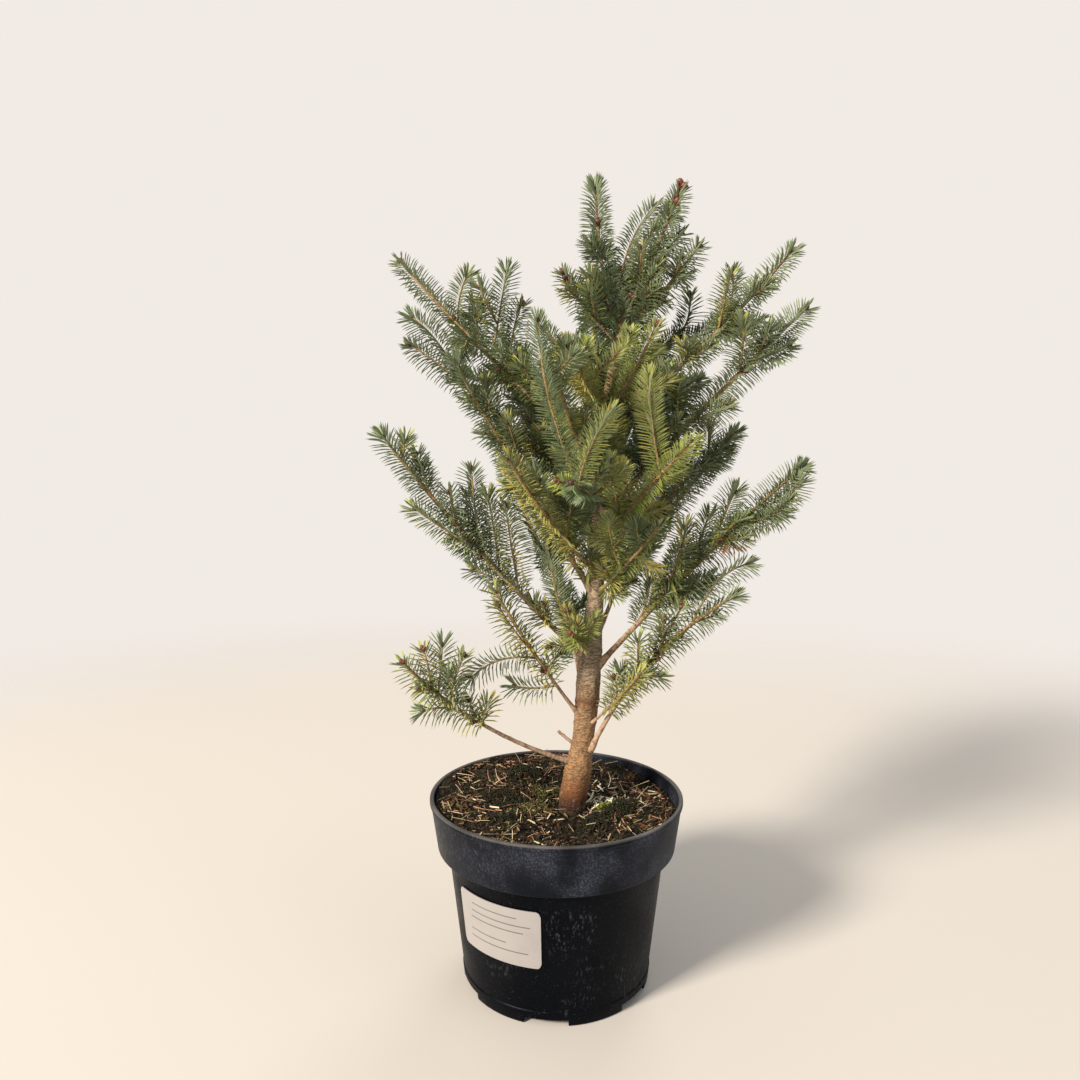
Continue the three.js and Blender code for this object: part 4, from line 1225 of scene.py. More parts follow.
# %% Growing needles
def needles_on(spray, root_radius=0.4):
    """Arrays that say where each needle of a shoot stands, how it bends and what colour it is."""
    path, start, row = spray["path"], spray["start"], BOUGHS[spray["owner"]]
    last = max(start + LEAST_SHARE, tip_share(path, spray["stop"]))
    span = path.length * (last - start)
    shades, under = DEALT[row["tones"] or row["leaf"]]
    at_front = row["small"] < FRONT_SMALL
    green = green_of(spray, row, shades)
    brush = spray["brush"] = ends_in_brush(spray, row, green)
    thin = max(row["thin"], LEAST_CHOSEN) if spray["order"] and spray["green"] else row["thin"]
    body = max(FEWEST, int(span * NEEDLE["per_mm"] * thin / row["small"]))
    crown = crown_of(spray, row, at_front)
    count = body + crown

    evenly = span * (np.arange(body) + 0.5) / body
    from_foot = np.concatenate([evenly, span - random.uniform(0, CROWN_DEEP, crown)])
    to_tip = span - from_foot
    share = start + (last - start) * from_foot / span
    along = path.along(share)
    side, top = across(along)
    level = np.hypot(along[:, 0], along[:, 1])  # 0 on an upright shoot, 1 on a level one
    closing = np.exp(-to_tip / TIP_REACH)

    turn = RANK * np.arange(count) + random.uniform(0, 6.28) + SPIRAL * from_foot
    turn += random.normal(0, STRAY, count)
    right, up = np.cos(turn), np.sin(turn)
    up = np.where(up < 0, up * (1 - BENEATH * level), up)
    outward = unit(right[:, None] * side + up[:, None] * top)

    near, low, over = LEAN
    lean = (near + (low - near) * np.minimum(1, to_tip / over)) * (1 - closing) + TIP_LEAN * closing
    lean += random.normal(0, 2.5, count)
    lean[body:] = random.uniform(*(BRUSH_LEAN if brush else BUDS_LEAN), crown)
    if at_front:
        lean -= STEEPER
    arch = (FRONT_ARCH if at_front else ARCH) + random.normal(0, 4)
    arch = arch * (1 - TIP_STRAIGHT * closing) + random.normal(0, 3, count)
    first, second = (np.cos(a)[:, None] * along + np.sin(a)[:, None] * outward
                     for a in (np.radians(lean), np.radians(lean + arch)))
    second = unit(second - SAG * level[:, None] * UP + random.normal(0, 0.03, (count, 3)))

    long = NEEDLE["long"] * row["small"]
    long = long * (LONG["foot"] + LONG["more"] * np.minimum(1, from_foot / LONG["over"]))
    long *= random.uniform(*LONG["uneven"], count)
    long *= 1 - LONG["top"] * np.maximum(up, 0) * level
    long *= 1 - LONG["brush" if brush else "buds"] * closing
    face = UP * (FACE["up"] + FACE["level"] * level[:, None]) + along + random.normal(0, 0.12, (count, 3))
    face = unit(face + TO_LIGHT if at_front else face)
    return dict(root=path.at(share) + outward * root_radius, first=first, second=second, long=long,
                face=face, tint=tints_on(green, to_tip, at_front), under=np.full(count, TINT[under]),
                wide=np.full(count, NEEDLE["wide"] * row["small"] ** 2))


YOUNG_TRUNK = (262, 413)  # the heights between which the trunk carries needles of its own
YOUNG_TRUNK_RADIUS = 2.6

batches = {owner: [] for owner in range(len(BOUGHS))}
for spray in sprays:
    batches[spray["owner"]].append(needles_on(spray))
low, middle, high = (trunk_at(height)[0] for height in (YOUNG_TRUNK[0], sum(YOUNG_TRUNK) / 2, YOUNG_TRUNK[1]))
stem = spray_of(Path(low, middle, high), numbers["crown_back"], 1, "green")
batches[stem["owner"]].append(needles_on(stem, YOUNG_TRUNK_RADIUS))
print(sum(len(b["long"]) for owner in batches for b in batches[owner]), "needles")

# %% Needle pieces
MOST_NEEDLES = 16000  # of 12 triangles: under 200,000
SECTIONS = ((0.3, 0.82), (0.74, 0.9))  # along the needle, and how wide beside its full width
# A needle's eight points are its foot, left, right and keel at two sections, and its tip.
UPPER_FACES = ((0, 2, 1), (7, 4, 5), (1, 2, 5, 4))
KEEL_FACES = ((0, 1, 3), (0, 3, 2), (7, 6, 4), (7, 5, 6), (3, 1, 4, 6), (2, 3, 6, 5))


def add_needles(pile, n):
    """All needles of a batch as closed blades."""
    long = n["long"][:, None]
    bend = n["root"] + n["first"] * long / 2
    end = bend + n["second"] * long / 2
    corners = [n["root"]]
    for share, wide in SECTIONS:
        centre = curve(n["root"], bend, end, share)
        ahead = unit((bend - n["root"]) * (1 - share) + (end - bend) * share)
        blade = unit(np.cross(ahead, n["face"]))
        keel = -np.cross(blade, ahead)
        half = n["wide"][:, None] * wide / 2
        corners += [centre - blade * half, centre + blade * half, centre + keel * NEEDLE["thick"]]
    corners.append(end)
    first = len(corners) * np.arange(len(long))[:, None]
    faces = [first + np.array(face) for face in (*UPPER_FACES, *KEEL_FACES)]
    tints = [n["tint"]] * len(UPPER_FACES) + [n["under"]] * len(KEEL_FACES)
    pile.add(np.stack(corners, 1), *faces, tint=tints)


def joined(batches):
    return {key: np.concatenate([batch[key] for batch in batches]) for key in batches[0]}


def in_groups(leaf):
    """The boughs of one kind of foliage, in groups that stay under the most needles."""
    groups, held = [[]], 0
    for owner, row in enumerate(BOUGHS):
        if row["leaf"] == leaf:
            count = sum(len(b["long"]) for b in batches[owner])
            if held + count > MOST_NEEDLES:
                groups.append([])
                held = 0
            groups[-1].append(owner)
            held += count
    return groups


groups = [(leaf, members) for leaf in DEALT for members in in_groups(leaf)]
for number, (leaf, members) in enumerate(groups, 1):
    pile = Pile()
    add_needles(pile, joined([batch for owner in members for batch in batches[owner]]))
    nodes = ["foliage_" + BOUGHS[owner]["name"] for owner in members]
    pile.piece(f"needles_{number}", list(GREENS.values()), leaf, nodes)

# %% [markdown]
# ## Bark
#
# A young fir's bark is thin: fine cracks that run round it, small resin blisters, and a ring of
# scars at every place where a year's growth ended. The relief is modelled in the mesh, as rings
# whose radius is changed by noise, because its outline shows against the light. Colour comes in
# zones by height: a wet red-brown foot, warm tan, and grey-tan above.

# %% Bark finishes
# Colours up the trunk, by the share of the heights from ZONES_FROM over ZONES_HIGH, in metres.
ZONES_FROM, ZONES_HIGH = 0.1, 0.32
BARK_ZONES = [(share, shade(*color)) for share, color in (
    (0.015, (36, 18, 12)),
    (0.034, (78, 38, 20)),
    (0.056, (136, 84, 46)),
    (0.09, (160, 120, 82)),
    (0.2, (154, 122, 90)),
    (0.222, (112, 76, 50)),
    (0.238, (142, 116, 90)),
    (0.28, (168, 148, 126)),
    (0.45, (170, 150, 126)),
    (1.0, (150, 120, 78)),
)]
BARK_GLOSS = 0.3


def trunk_finish():
    """Zones by height with a wavering edge, under dark flecks, smears, pale patches and cracks."""
    finish = Finish("trunk_bark", (0, 0, 0), 0.82, Specular_IOR_Level=BARK_GLOSS)
    height = finish.axis("Z") + (finish.clouds(160, 2) - 0.5) * 0.006
    share = (height - ZONES_FROM) / ZONES_HIGH
    zone = finish.node("ShaderNodeValToRGB", {"stops": BARK_ZONES}, {0: share})
    rings = finish.clouds(420, 6, (1, 1, 2.6))
    fleck = finish.ramp(rings, 0.47, 0.6)
    smear = finish.patches(0.42, 0.62, 260, 4, (1, 1, 0.5))
    crack = finish.patches(0.56, 0.66, 240, 4, (1, 1, 5))
    pale = finish.patches(0.56, 0.7, 420)
    color = finish.mix(fleck * 0.55, zone, shade(84, 68, 48))
    color = finish.mix(smear * 0.3, color, shade(96, 82, 60))
    color = finish.mix(pale * 0.3, color, shade(190, 170, 140))
    finish.feed("Base Color", finish.mix(crack * 0.5, color, shade(66, 46, 32)))
    finish.bump(rings + fleck * 0.3, 0.8, 0.0008)
    return finish


def limb_finish(name, color, dark):
    finish = Finish(name, (0, 0, 0), 0.78, Specular_IOR_Level=BARK_GLOSS)
    mottle = finish.patches(0.4, 0.68, 480)
    finish.feed("Base Color", finish.mix(mottle, color, dark))
    finish.bump(finish.clouds(1000, 3), 0.5, 0.0005)
    return finish


trunk_bark = trunk_finish()
print("trunk bark of", len(trunk_bark.tree.nodes), "nodes in", len(BARK_ZONES), "zones")

# %% The trunk's relief
TRUNK_FROM, TRUNK_TO = 98.0, TRUNK[-1, 0] + 1
TRUNK_COLUMNS, TRUNK_RING = 60, 1.2
CRACKS, LUMPS, PITS = 0.26, 0.35, 1.1  # how far the bark stands out or in, in millimetres
PITS_OVER, ROUGH, SMOOTH_PITS = 0.25, (114, 200), 0.4  # fewer pits outside the rough heights
# Height and depth of the rings of scars, and the height that a ring's own wander fades over.
SCARS = ((135, 0.35), (157, 0.5), (166, -0.45), (172, 0.5), (181, 0.3), (188, -0.3), (195, 0.6),
         (203, 0.35), (238, 0.4), (304, 0.5), (360, 0.5), (408, 0.5))
SCAR_WIDE = 1.1
FLARE, FLARE_FROM, FLARE_HEIGHT = 0.8, 101, 5.0
# Height, and how much thicker the trunk is there than its solid.
WAIST = np.array([(98, -1.9), (104, -1.8), (112, -0.2), (128, 0.5), (140, -0.9), (150, -1.1),
                  (160, -0.7), (175, -0.4), (195, -0.6), (205, 0)])
FULL_RELIEF_RADIUS = 7  # a thinner stem has less relief
EASING = np.array([-8, -4, 0, 4, 8])


def smooth_trunk(height):
    """The trunk's centre and radius, with the corners between its stations eased."""
    samples = trunk_at(np.clip(height[:, None] + EASING, TRUNK[0, 0], TRUNK[-1, 0]))
    centre = samples[0].mean(1)
    centre[:, 2] = height
    return centre, samples[1].mean(1)


def wrinkles(angle, height, turns, long, aside=(0, 0)):
    """Noise on a round stem, finer the more turns it takes and the less long it is."""
    right, back = math.cos(angle) * turns + aside[0], math.sin(angle) * turns + aside[1]
    return noise.noise(Vector((right, back, height / long)))


def bark_relief(height, angle):
    """How far the bark stands out at one place."""
    cracks = wrinkles(angle, height, 4.2, 9) + 0.6 * wrinkles(angle, height, 9, 4)
    lumps = wrinkles(angle, height, 1.4, 12, (9, 0))
    pits = max(0, wrinkles(angle, height, 6, 1.8, (0, 5)) - PITS_OVER)
    rough = 1 if ROUGH[0] < height < ROUGH[1] else SMOOTH_PITS
    return CRACKS * cracks + LUMPS * lumps - PITS * pits * rough


rings = int((TRUNK_TO - TRUNK_FROM) / TRUNK_RING)
height = np.linspace(TRUNK_FROM, TRUNK_TO, rings)
angle = circle(TRUNK_COLUMNS)
centre, radius = smooth_trunk(height)
relief = np.array([[bark_relief(z, a) for a in angle] for z in height])
for ring_height, depth in SCARS:
    wander = 0.9 * np.sin(angle * 2 + ring_height) + 0.5 * np.sin(angle * 5 + 2 * ring_height)
    relief += depth * np.exp(-((height[:, None] - ring_height + wander) / SCAR_WIDE) ** 2)
relief *= np.minimum(1, radius / FULL_RELIEF_RADIUS)[:, None]
flare = FLARE * np.exp(-np.maximum(height - FLARE_FROM, 0) / FLARE_HEIGHT)[:, None]
flare = flare * (1 + 0.5 * np.sin(angle * 4 + 0.7))
radius = (radius + np.interp(height, *WAIST.T))[:, None] + relief + flare
points = np.empty((rings, TRUNK_COLUMNS, 3))
points[..., 0] = centre[:, :1] + radius * np.cos(angle)
points[..., 1] = centre[:, 1:2] + radius * np.sin(angle)
points[..., 2] = height[:, None]
trunk = Pile()
trunk.add([*points.reshape(-1, 3), centre[0], centre[-1] + UP * 0.6], *barrel(rings, TRUNK_COLUMNS))
trunk.piece("trunk_bark", [trunk_bark], "bark", ["trunk"], smooth=True)

# %% [markdown]
# ## Boughs and twigs
#
# Each bough is one tapering limb that swells into a collar where it leaves the trunk, and it runs
# on through its own foliage to the tip. Last summer's shoots are thinner, and olive-tan.

# %% Limbs
random = np.random.default_rng(5)
COLLAR, COLLAR_LONG = 0.5, 3.5  # how much thicker a limb is at the bark, and over how many mm
IN_BARK = 5.0  # how far a limb's foot is sunk
LIMB_SLIM = 0.8  # a dry limb is a little thinner than its solid
STUB_SLIM = 0.3  # the dead stub loses this much of its radius to its tip
LIMB_SIDES, LIMB_STEP, LIMB_ROUGH = 9, 2.5, 0.05
STUB_STEP, STUB_ROUGH = 1.5, 0.07


def tube(pile, path, first, last, radius_at, sides, step, tint=0, rough=0.0):
    """A round limb along a path, closed at both ends. Its radius and tint may change on the way."""
    rings = max(3, int(path.length * (last - first) / step) + 1)
    shares = np.linspace(first, last, rings)
    side, top = across(path.along(shares))
    angle = circle(sides)[:, None]
    radius = np.broadcast_to(radius_at(shares)[:, None], (rings, sides)).copy()
    if rough:
        radius *= 1 + rough * random.normal(0, 1, (rings, sides))
    ring = np.cos(angle) * side[:, None] - np.sin(angle) * top[:, None]
    points = (path.at(shares)[:, None] + radius[..., None] * ring).reshape(-1, 3)
    tints = [np.repeat(tint(shares[:-1]), sides), 0, 0] if callable(tint) else tint
    ends = path.at(np.array([first, last]))
    pile.add(np.concatenate([points, ends]), *barrel(rings, sides), tint=tints)


def limb(pile, row, path):
    """A bough's line from inside the bark, where a collar holds it, to its tip."""
    foot = leaves_trunk_at(path) if row["up"] < TRUNK[-1, 0] else 0.0
    bare = row["bare"]

    def radius_at(share):
        collar = 1 + COLLAR * np.exp(-np.maximum(share - foot, 0) * path.length / COLLAR_LONG)
        return bough_radius(path, share) * collar * np.interp(share, (bare, bare + 0.2), (LIMB_SLIM, 1.0))

    def young(share):
        return (share > max(bare + 0.15, 0.4)).astype(int)

    sunk = max(0, foot - IN_BARK / path.length)
    tube(pile, path, sunk, tip_share(path, row["stop"]), radius_at, LIMB_SIDES, LIMB_STEP, young, LIMB_ROUGH)


def stub_radius(share):
    return STUB["radius"] * (1 - STUB_SLIM * share)


limb_finishes = [
    limb_finish("bough_bark", shade(178, 148, 122), shade(126, 100, 80)),
    limb_finish("shoot_bark", shade(158, 132, 88), shade(112, 90, 58)),
]
boughs = Pile()
for row, path in zip(BOUGHS, paths):
    limb(boughs, row, path)
tube(boughs, stub_path, 0.35, 1, stub_radius, LIMB_SIDES, STUB_STEP, 0, STUB_ROUGH)
limb_nodes = ["bough_" + row["name"] for row in BOUGHS if has_limb(row)]
boughs.piece("boughs_bark", limb_finishes, "bark", [*limb_nodes, "dead_stub"], smooth=True)

# %% Twigs
TWIG_THICK, TWIG_TAPER = 0.95, 0.35  # beside a shoot's radius
TWIG_SIDES, TWIG_STEP = 6, 4

twigs = Pile()
for spray in sprays:
    if spray["order"]:
        tube(twigs, spray["path"], 0, tip_share(spray["path"]),
             lambda share: SHOOT_RADIUS * (TWIG_THICK - TWIG_TAPER * share), TWIG_SIDES, TWIG_STEP)
twigs.piece("twigs", [limb_finishes[1]], "bark", smooth=True)

# %% [markdown]
# ## Buds
#
# Every shoot ends in a bud of overlapping red-brown scales, often with two smaller ones beside it,
# and the leaders carry knots of them. A bud is a small egg of a few faces.

# %% Small eggs
BUD_SIDES, BUD_RINGS, BUD_FULLNESS = 7, 4, 0.8
LONG_BUD, WIDE_BUD = 3.2, 2.2
# A tip that ends in bare buds, and one that needles hide: the bud's size, and how far it and its
# two neighbours stand from the tip.
BARE_TIP = dict(size=1.25, ahead=2.4, beside=2.0)
LEAFY_TIP = dict(size=0.95, ahead=1.2, beside=1.5)
SIDE_BUD, SIDE_BUD_LEAN, SIDE_BUDS = 0.8, 0.9, 0.5  # size, lean, and the chance of one at a leafy tip
KNOT_BUD, KNOT_LEAN, KNOT_TURN = 1.1, 0.8, 2.4  # size, lean ahead, and the turn from bud to bud
bud_finishes = [
    Finish("bud_red", shade(110, 60, 46), 0.5),
    Finish("bud_brown", shade(82, 52, 38), 0.55),
    Finish("bud_tan", shade(124, 90, 58), 0.55),
]


def egg(pile, centre, along, size, tint):
    side, top = across(along)
    rise = np.linspace(0, math.pi, BUD_RINGS + 2)[1:-1]
    angle = circle(BUD_SIDES)[:, None]
    fat = WIDE_BUD * size / 2 * np.sin(rise) ** BUD_FULLNESS
    ring = np.cos(angle) * side - np.sin(angle) * top
    half = along * (LONG_BUD * size) / 2
    middle = centre - np.cos(rise)[:, None] * along * (LONG_BUD * size) / 2
    points = (middle[:, None] + fat[:, None, None] * ring).reshape(-1, 3)
    pile.add([*points, centre - half, centre + half], *barrel(BUD_RINGS, BUD_SIDES), tint=tint)


# Knots of buds on the boughs: bough, share of it, how many buds and how large.
KNOTS = table("""
left_leader 0.80 2 1.3
left_leader 0.77 3 1.4
left_leader 0.62 2 1.1
crown_left 0.84 4 1.4
right_leader 0.97 5 1.7
right_leader 0.84 4 1.9
right_leader 0.90 3 1.4
right_leader 0.38 2 0.9
right_leader 0.17 6 1.6
top_left 0.68 3 1.3
top_left 0.45 3 1.2
upper_left 0.50 3 1.2
high_right 0.80 3 1.3
right_long 0.68 3 1.4
long_left 0.50 3 1.3
long_right 0.33 3 1.4
lowest_right 0.59 4 1.4
lowest_left 0.50 3 1.2
second_left 0.40 4 1.2
front_diagonal 0.60 2 1.0
middle_left 0.39 3 1.1
front_left 0.55 3 1.0
""")
print(len(KNOTS), "knots of buds")

# %% Buds at the tips and in knots
buds = Pile()
for spray in sprays:
    path = spray["path"]
    end = tip_share(path, spray["stop"])
    tip, along = path.at(end), path.along(end)
    side, _ = across(along, random.uniform(0, 180))
    bare = not spray["brush"] and (spray["order"] == 0 or spray["green"])
    kept = BARE_TIP if bare else LEAFY_TIP
    size = random.uniform(0.85, 1.15) * kept["size"]
    kind = int(random.integers(len(bud_finishes)))
    egg(buds, tip + along * kept["ahead"], along, size, kind)
    for turn in (1, -1):
        if bare or random.random() < SIDE_BUDS:
            lean = unit(along + side * turn * SIDE_BUD_LEAN)
            egg(buds, tip + lean * kept["beside"], lean, size * SIDE_BUD, kind)
for name, share, count, size in KNOTS:
    path = paths[numbers[name]]
    at, along = path.at(share), path.along(share)
    side, top = across(along)
    for bud in range(int(count)):
        turn = KNOT_TURN * bud + share * 9
        lean = unit(along * KNOT_LEAN + side * math.cos(turn) + top * math.sin(turn))
        here = at + along * random.uniform(-1.5, 1.5) * size
        here = here + lean * (bough_radius(path, share) + LONG_BUD * size * 0.3)
        egg(buds, here, lean, size * KNOT_BUD, int(random.integers(2)))
buds.piece("buds", bud_finishes, "bark", smooth=True)

# %% [markdown]
# ## The mulch
#
# The pot is filled almost to the lip with peat under a litter of bark chips, straw, fine roots,
# fallen needles and moss. The ground is a disc of rings raised by noise. The litter is strewn over
# it by seeded chance as small bodies of a few faces, in plain colours of its own.

# %% The ground's shape
SOIL_LEVEL, SOIL_RIPPLE, SOIL_SLOPE = 104.0, 1.6, 0.022
MOUND_WIDE, MOUND_DEEP = 9.0, 11.0
HOLLOW, HOLLOW_RADIUS, HOLLOW_EDGE = 102.7, 17.0, 12.0
SOIL_EDGE = POT["rim"] - POT["lip"] - POT["wall"] - 1.2
# The litter is banked up against the wall, highest at the back left, from a share of the way out.
BANK, BANK_SIDE, BANK_LEAST, BANK_FROM = 5.6, (-0.8, 0.6), 0.45, 0.55
# Heaps and a dip: right, back, width, height.
HEAPS = ((-24, 38, 13, 4.5), (36, -10, 9, 4.0), (-40, -28, 12, 2.5), (8, -40, 13, -2.5))
CRUMBS = ((7, 1.3), (2.6, 0.9), (1.1, 0.4))  # width and height of coarse and fine crumbs
STEM = TRUNK[0, 1:3]


def hump(x, y, right, back, wide):
    """1 at a place on the ground, less around it."""
    return np.exp(-((x - right) ** 2 + (y - back) ** 2) / (2 * wide**2))


def soil_height(x, y):
    """The solids' own mounds and hollow, with heaps, and a bank of litter along the wall."""
    mounds = SOIL_RIPPLE * np.sin(x / MOUND_WIDE + 1.3) * np.cos(y / MOUND_DEEP)
    out = np.hypot(x, y)
    toward_bank = (BANK_SIDE[1] * y + BANK_SIDE[0] * x) / np.maximum(out, 1)
    bank = BANK * np.clip(BANK_LEAST + (1 - BANK_LEAST) * toward_bank, 0, 1)
    bank = bank * np.clip((out / SOIL_EDGE - BANK_FROM) / (1 - BANK_FROM), 0, 1) ** 1.5
    heaps = sum(high * hump(x, y, right, back, wide) for right, back, wide, high in HEAPS)
    rough = SOIL_LEVEL + mounds + SOIL_SLOPE * (y - x) + bank + heaps
    t = np.clip((np.hypot(x - STEM[0], y - STEM[1]) - HOLLOW_RADIUS * 0.6) / HOLLOW_EDGE, 0, 1)
    t = t * t * (3 - 2 * t)
    return HOLLOW * (1 - t) + rough * t


@np.vectorize
def crumbled(x, y):
    layers = enumerate(CRUMBS)
    return sum(noise.noise(Vector((x / wide, y / wide, 3 * i))) * high for i, (wide, high) in layers)


def ground_height(x, y):
    return soil_height(x, y) + crumbled(x, y)


print("the ground is", round(float(ground_height(0.0, -50.0)), 1), "mm up, 50 mm in front of the middle")

# %% The ground in the pot
GROUND_RINGS, GROUND_COLUMNS = 70, 200
GROUND_FOOT = 96.0  # the height of its flat underside


def peat_finish():
    finish = Finish("peat", (0, 0, 0), 0.95, Specular_IOR_Level=0.2)
    lumps = finish.patches(0.35, 0.7, 300, 5)
    moss = finish.patches(0.52, 0.66, 42, 3)
    color = finish.mix(lumps, shade(14, 11, 8), shade(50, 40, 29))
    finish.feed("Base Color", finish.mix(moss * 0.8, color, shade(46, 46, 26)))
    finish.bump(finish.clouds(700, 5), 1.0, 0.0015)
    return finish


out = SOIL_EDGE * np.linspace(0, 1, GROUND_RINGS + 1)[1:, None] ** 0.8
angle = circle(GROUND_COLUMNS)
x, y = out * np.cos(angle), out * np.sin(angle)
surface = np.stack([x, y, ground_height(x, y)], -1)
skirt = np.stack([x[-1], y[-1], np.full(GROUND_COLUMNS, GROUND_FOOT)], -1)
poles = [(0, 0, soil_height(0.0, 0.0)), (0, 0, GROUND_FOOT)]
sides, low, high = barrel(GROUND_RINGS + 1, GROUND_COLUMNS)
ground = Pile()  # its rows run outward and then down, so every face is turned over
ground.add([*surface.reshape(-1, 3), *skirt, *poles], sides[:, ::-1], low[:, [0, 2, 1]], high[:, [0, 2, 1]])
ground.piece("peat_ground", [peat_finish()], "soil", ["soil"], smooth=True)

# %% Places and splinters
random = np.random.default_rng(23)
LITTER = {
    "chip_dark": (34, 26, 20),
    "chip_red": (94, 58, 42),
    "chip_brown": (80, 62, 42),
    "straw": (148, 128, 92),
    "straw_pink": (178, 134, 106),
    "straw_pale": (214, 200, 166),
    "grey_dry": (224, 222, 196),
    "moss_dark": (40, 40, 24),
    "moss_green": (76, 76, 36),
    "moss_bright": (124, 136, 30),
}
litter_finishes = [Finish(name, shade(*color), 0.85, Specular_IOR_Level=0.25)
                   for name, color in LITTER.items()]
KIND = {name: index for index, name in enumerate(LITTER)}
BARE_PATCH = (14, -36, 17)  # dark peat with little on it: right, back, width
BARE = 0.85  # the share of litter that the patch lacks
DRIFT_WIDE, DRIFT_MEAN, DRIFT_BY = 17, 0.75, 1.5
OFF_TRUNK = 11
SPLINTER = (0.45, 1.15)  # how far each corner stands from its box's middle, beside an even box
BOX_CORNERS = np.array([(a, b, c) for c in (-1, 1) for a, b in ((-1, -1), (1, -1), (1, 1), (-1, 1))])
BOX_FACES = np.array([(0, 3, 2, 1), (4, 5, 6, 7), *BOX_SIDES])[:, ::-1]
FROM_WALL = 0.965  # a long chip near the wall lies along it, and this share as far out


@np.vectorize
def drift_noise(x, y):
    return noise.noise(Vector((x / DRIFT_WIDE, y / DRIFT_WIDE, 8)))


def strewn(count, clumped=True):
    """Places on the ground, in drifts or even over its area, and off the trunk."""
    angle = random.uniform(0, 2 * math.pi, count)
    out = (SOIL_EDGE - 0.5) * np.sqrt(random.random(count))
    x, y = out * np.cos(angle), out * np.sin(angle)
    kept = np.hypot(x - STEM[0], y - STEM[1]) > OFF_TRUNK
    if clumped:
        drift = (DRIFT_MEAN + DRIFT_BY * drift_noise(x, y)) * (1 - BARE * hump(x, y, *BARE_PATCH))
        kept &= random.random(count) < drift
    return np.stack([x, y, ground_height(x, y)], -1)[kept]


def chips(pile, places, long, wide, thick, tilt, kinds):
    """Splinters: boxes with every corner moved, lying at a slight tilt."""
    count = len(places)
    azimuth, lift = random.uniform(0, 2 * math.pi, count), random.normal(0, tilt, count)
    along_wall = np.arctan2(places[:, 1], places[:, 0]) + math.pi / 2
    outer = np.hypot(places[:, 0], places[:, 1]) > SOIL_EDGE - long[1] / 2
    azimuth = np.where(outer, along_wall + 0.3 * (azimuth / math.pi - 1), azimuth)
    places = np.where(outer[:, None], places * (FROM_WALL, FROM_WALL, 1), places)
    ahead = np.stack([np.cos(azimuth) * np.cos(lift), np.sin(azimuth) * np.cos(lift), np.sin(lift)], -1)
    side = unit(np.cross(ahead, UP + random.normal(0, 0.35, (count, 3))))
    top = np.cross(side, ahead)
    size = np.stack([random.uniform(*range_of, count) for range_of in (long, wide, thick)], -1) / 2
    local = BOX_CORNERS * random.uniform(*SPLINTER, (count, 8, 3)) * size[:, None]
    corners = sum(local[..., i:i + 1] * axis[:, None] for i, axis in enumerate((ahead, side, top)))
    lifted = places + UP * random.uniform(0.0, 0.9, (count, 1))
    faces = (BOX_FACES + 8 * np.arange(count)[:, None, None]).reshape(-1, 4)
    tint = np.repeat(random.choice([KIND[kind] for kind in kinds], count), len(BOX_FACES))
    pile.add(lifted[:, None] + corners, faces, tint=tint)


print(len(LITTER), "colours of litter")

# %% Straws and fibres
FIBRE_SIDES, FIBRE_STEP, FIBRE_TAPER, FIBRE_BEND = 4, 2.5, 0.4, 0.3


def moved(path, by):
    return Path(path.start + by, path.middle + by, path.end + by)


def fibres(pile, places, long, radius, kinds):
    """Thin bent tubes, kept inside the pot."""
    for place in places:
        azimuth = random.uniform(0, 2 * math.pi)
        ahead = unit(np.array([math.cos(azimuth), math.sin(azimuth), random.normal(0, 0.3)]))
        bend = random.normal(0, 0.9, 3) * (1, 1, 0.3)
        length = random.uniform(*long)
        if math.hypot(*(place + ahead * length)[:2]) > SOIL_EDGE - 2:
            ahead = -ahead * (1, 1, 0)
        middle = place + ahead * length / 2 + bend * length * FIBRE_BEND + UP * 0.6
        path = Path(place, middle, middle + unit(ahead + bend) * length / 2)
        widest = np.hypot(*path.at(np.linspace(0, 1, 7))[:, :2].T).max()
        if widest > SOIL_EDGE - 1:
            path = moved(path, place * (-1, -1, 0) / math.hypot(*place[:2]) * (widest - SOIL_EDGE + 1))
        fat = random.uniform(*radius)
        kind = KIND[kinds[int(random.integers(len(kinds)))]]
        tube(pile, path, 0, 1, lambda share: fat * (1 - FIBRE_TAPER * share), FIBRE_SIDES, FIBRE_STEP, kind)


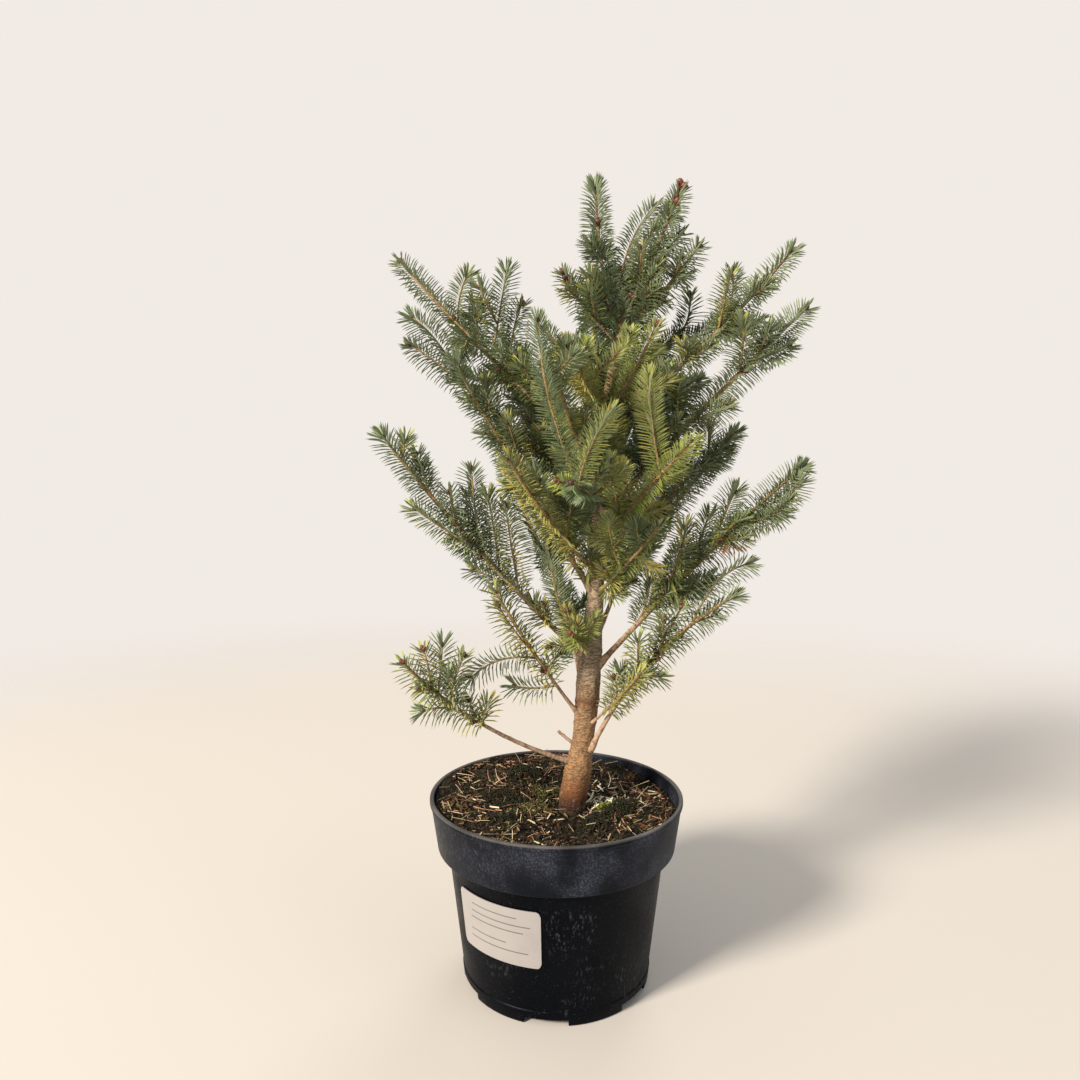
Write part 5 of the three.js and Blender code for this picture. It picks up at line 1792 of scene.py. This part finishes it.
# %% Litter
# Chips and straws: how many, how far above the ground, the ranges of length, width and thickness,
# the tilt and the colours. The first ones lie evenly, the rest in drifts.
CHIPS = (
    (3600, 0, (0.8, 2.6), (0.6, 1.8), (0.4, 1.4), 0.5, ["chip_dark", "chip_dark", "chip_brown", "moss_dark"]),
    (700, 0, (2, 6), (0.7, 1.8), (0.3, 0.9), 0.3, ["chip_brown", "chip_red", "chip_dark", "moss_green"]),
    (1000, 0, (0.8, 2.4), (0.4, 0.9), (0.3, 0.8), 0.4, ["straw", "straw_pink", "chip_red", "moss_green"]),
    (460, 0.6, (3, 9), (0.4, 1.0), (0.3, 0.6), 0.25, ["straw", "straw_pale", "straw_pink", "chip_red"]),
)
FIBRES, FIBRE_LIFT = 760, 0.3
FALLEN = 34  # bleached needles at the trunk's foot
FALLEN_LIFT = 1.6

litter = Pile()
for number, (count, lift, *shape) in enumerate(CHIPS):
    chips(litter, strewn(count, clumped=number > 0) + UP * lift, *shape)
fibre_places = strewn(FIBRES) + UP * FIBRE_LIFT
fibres(litter, fibre_places, (4, 13), (0.14, 0.32), ["straw", "straw_pale", "straw_pink", "chip_brown"])
x, y = random.normal(30, 5, FALLEN), random.normal(4, 10, FALLEN)
fallen = np.stack([x, y, soil_height(x, y) + FALLEN_LIFT], -1)
chips(litter, fallen, (4, 8), (0.8, 1.3), (0.25, 0.4), 0.45, ["grey_dry"])
litter.piece("litter", litter_finishes, "soil")

# %% Moss
# Tufts: right, back, how far they spread, colour, how many leaves.
TUFTS = (
    (30, -10, 5.5, "moss_bright", 240),
    (34, -17, 9, "moss_dark", 300),
    (-34, 4, 17, "moss_dark", 420),
    (-16, 34, 15, "moss_dark", 420),
    (-30, -34, 10, "moss_dark", 160),
    (22, -30, 10, "moss_dark", 240),
    (44, -6, 10, "moss_dark", 220),
    (-14, -10, 13, "moss_green", 200),
    (-6, 12, 12, "moss_green", 160),
)
TUFT_HIGH = 2.0
LEAF = dict(long=(1.0, 2.6), wide=(0.4, 0.8), thick=(0.4, 0.8), tilt=1.1)

moss = Pile()
for right, back, spread, kind, count in TUFTS:
    x, y = right + random.normal(0, spread / 2, count), back + random.normal(0, spread / 2, count)
    tuft = TUFT_HIGH * np.exp(-((x - right) ** 2 + (y - back) ** 2) / spread**2)
    random.random(count)  # passed over: the draws after it stay as they are
    places = np.stack([x, y, ground_height(x, y) + tuft], -1)
    chips(moss, places, **LEAF, kinds=[kind, kind, "moss_green" if kind == "moss_bright" else kind])
moss.piece("moss", litter_finishes, "soil")

# %% Last: sizes and finish
low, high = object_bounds()
boxes = {"cad": [list(cad_low), list(cad_high)], "visual": [list(low), list(high)]}
print("visual box", tuple(round(v, 4) for v in low), tuple(round(v, 4) for v in high))
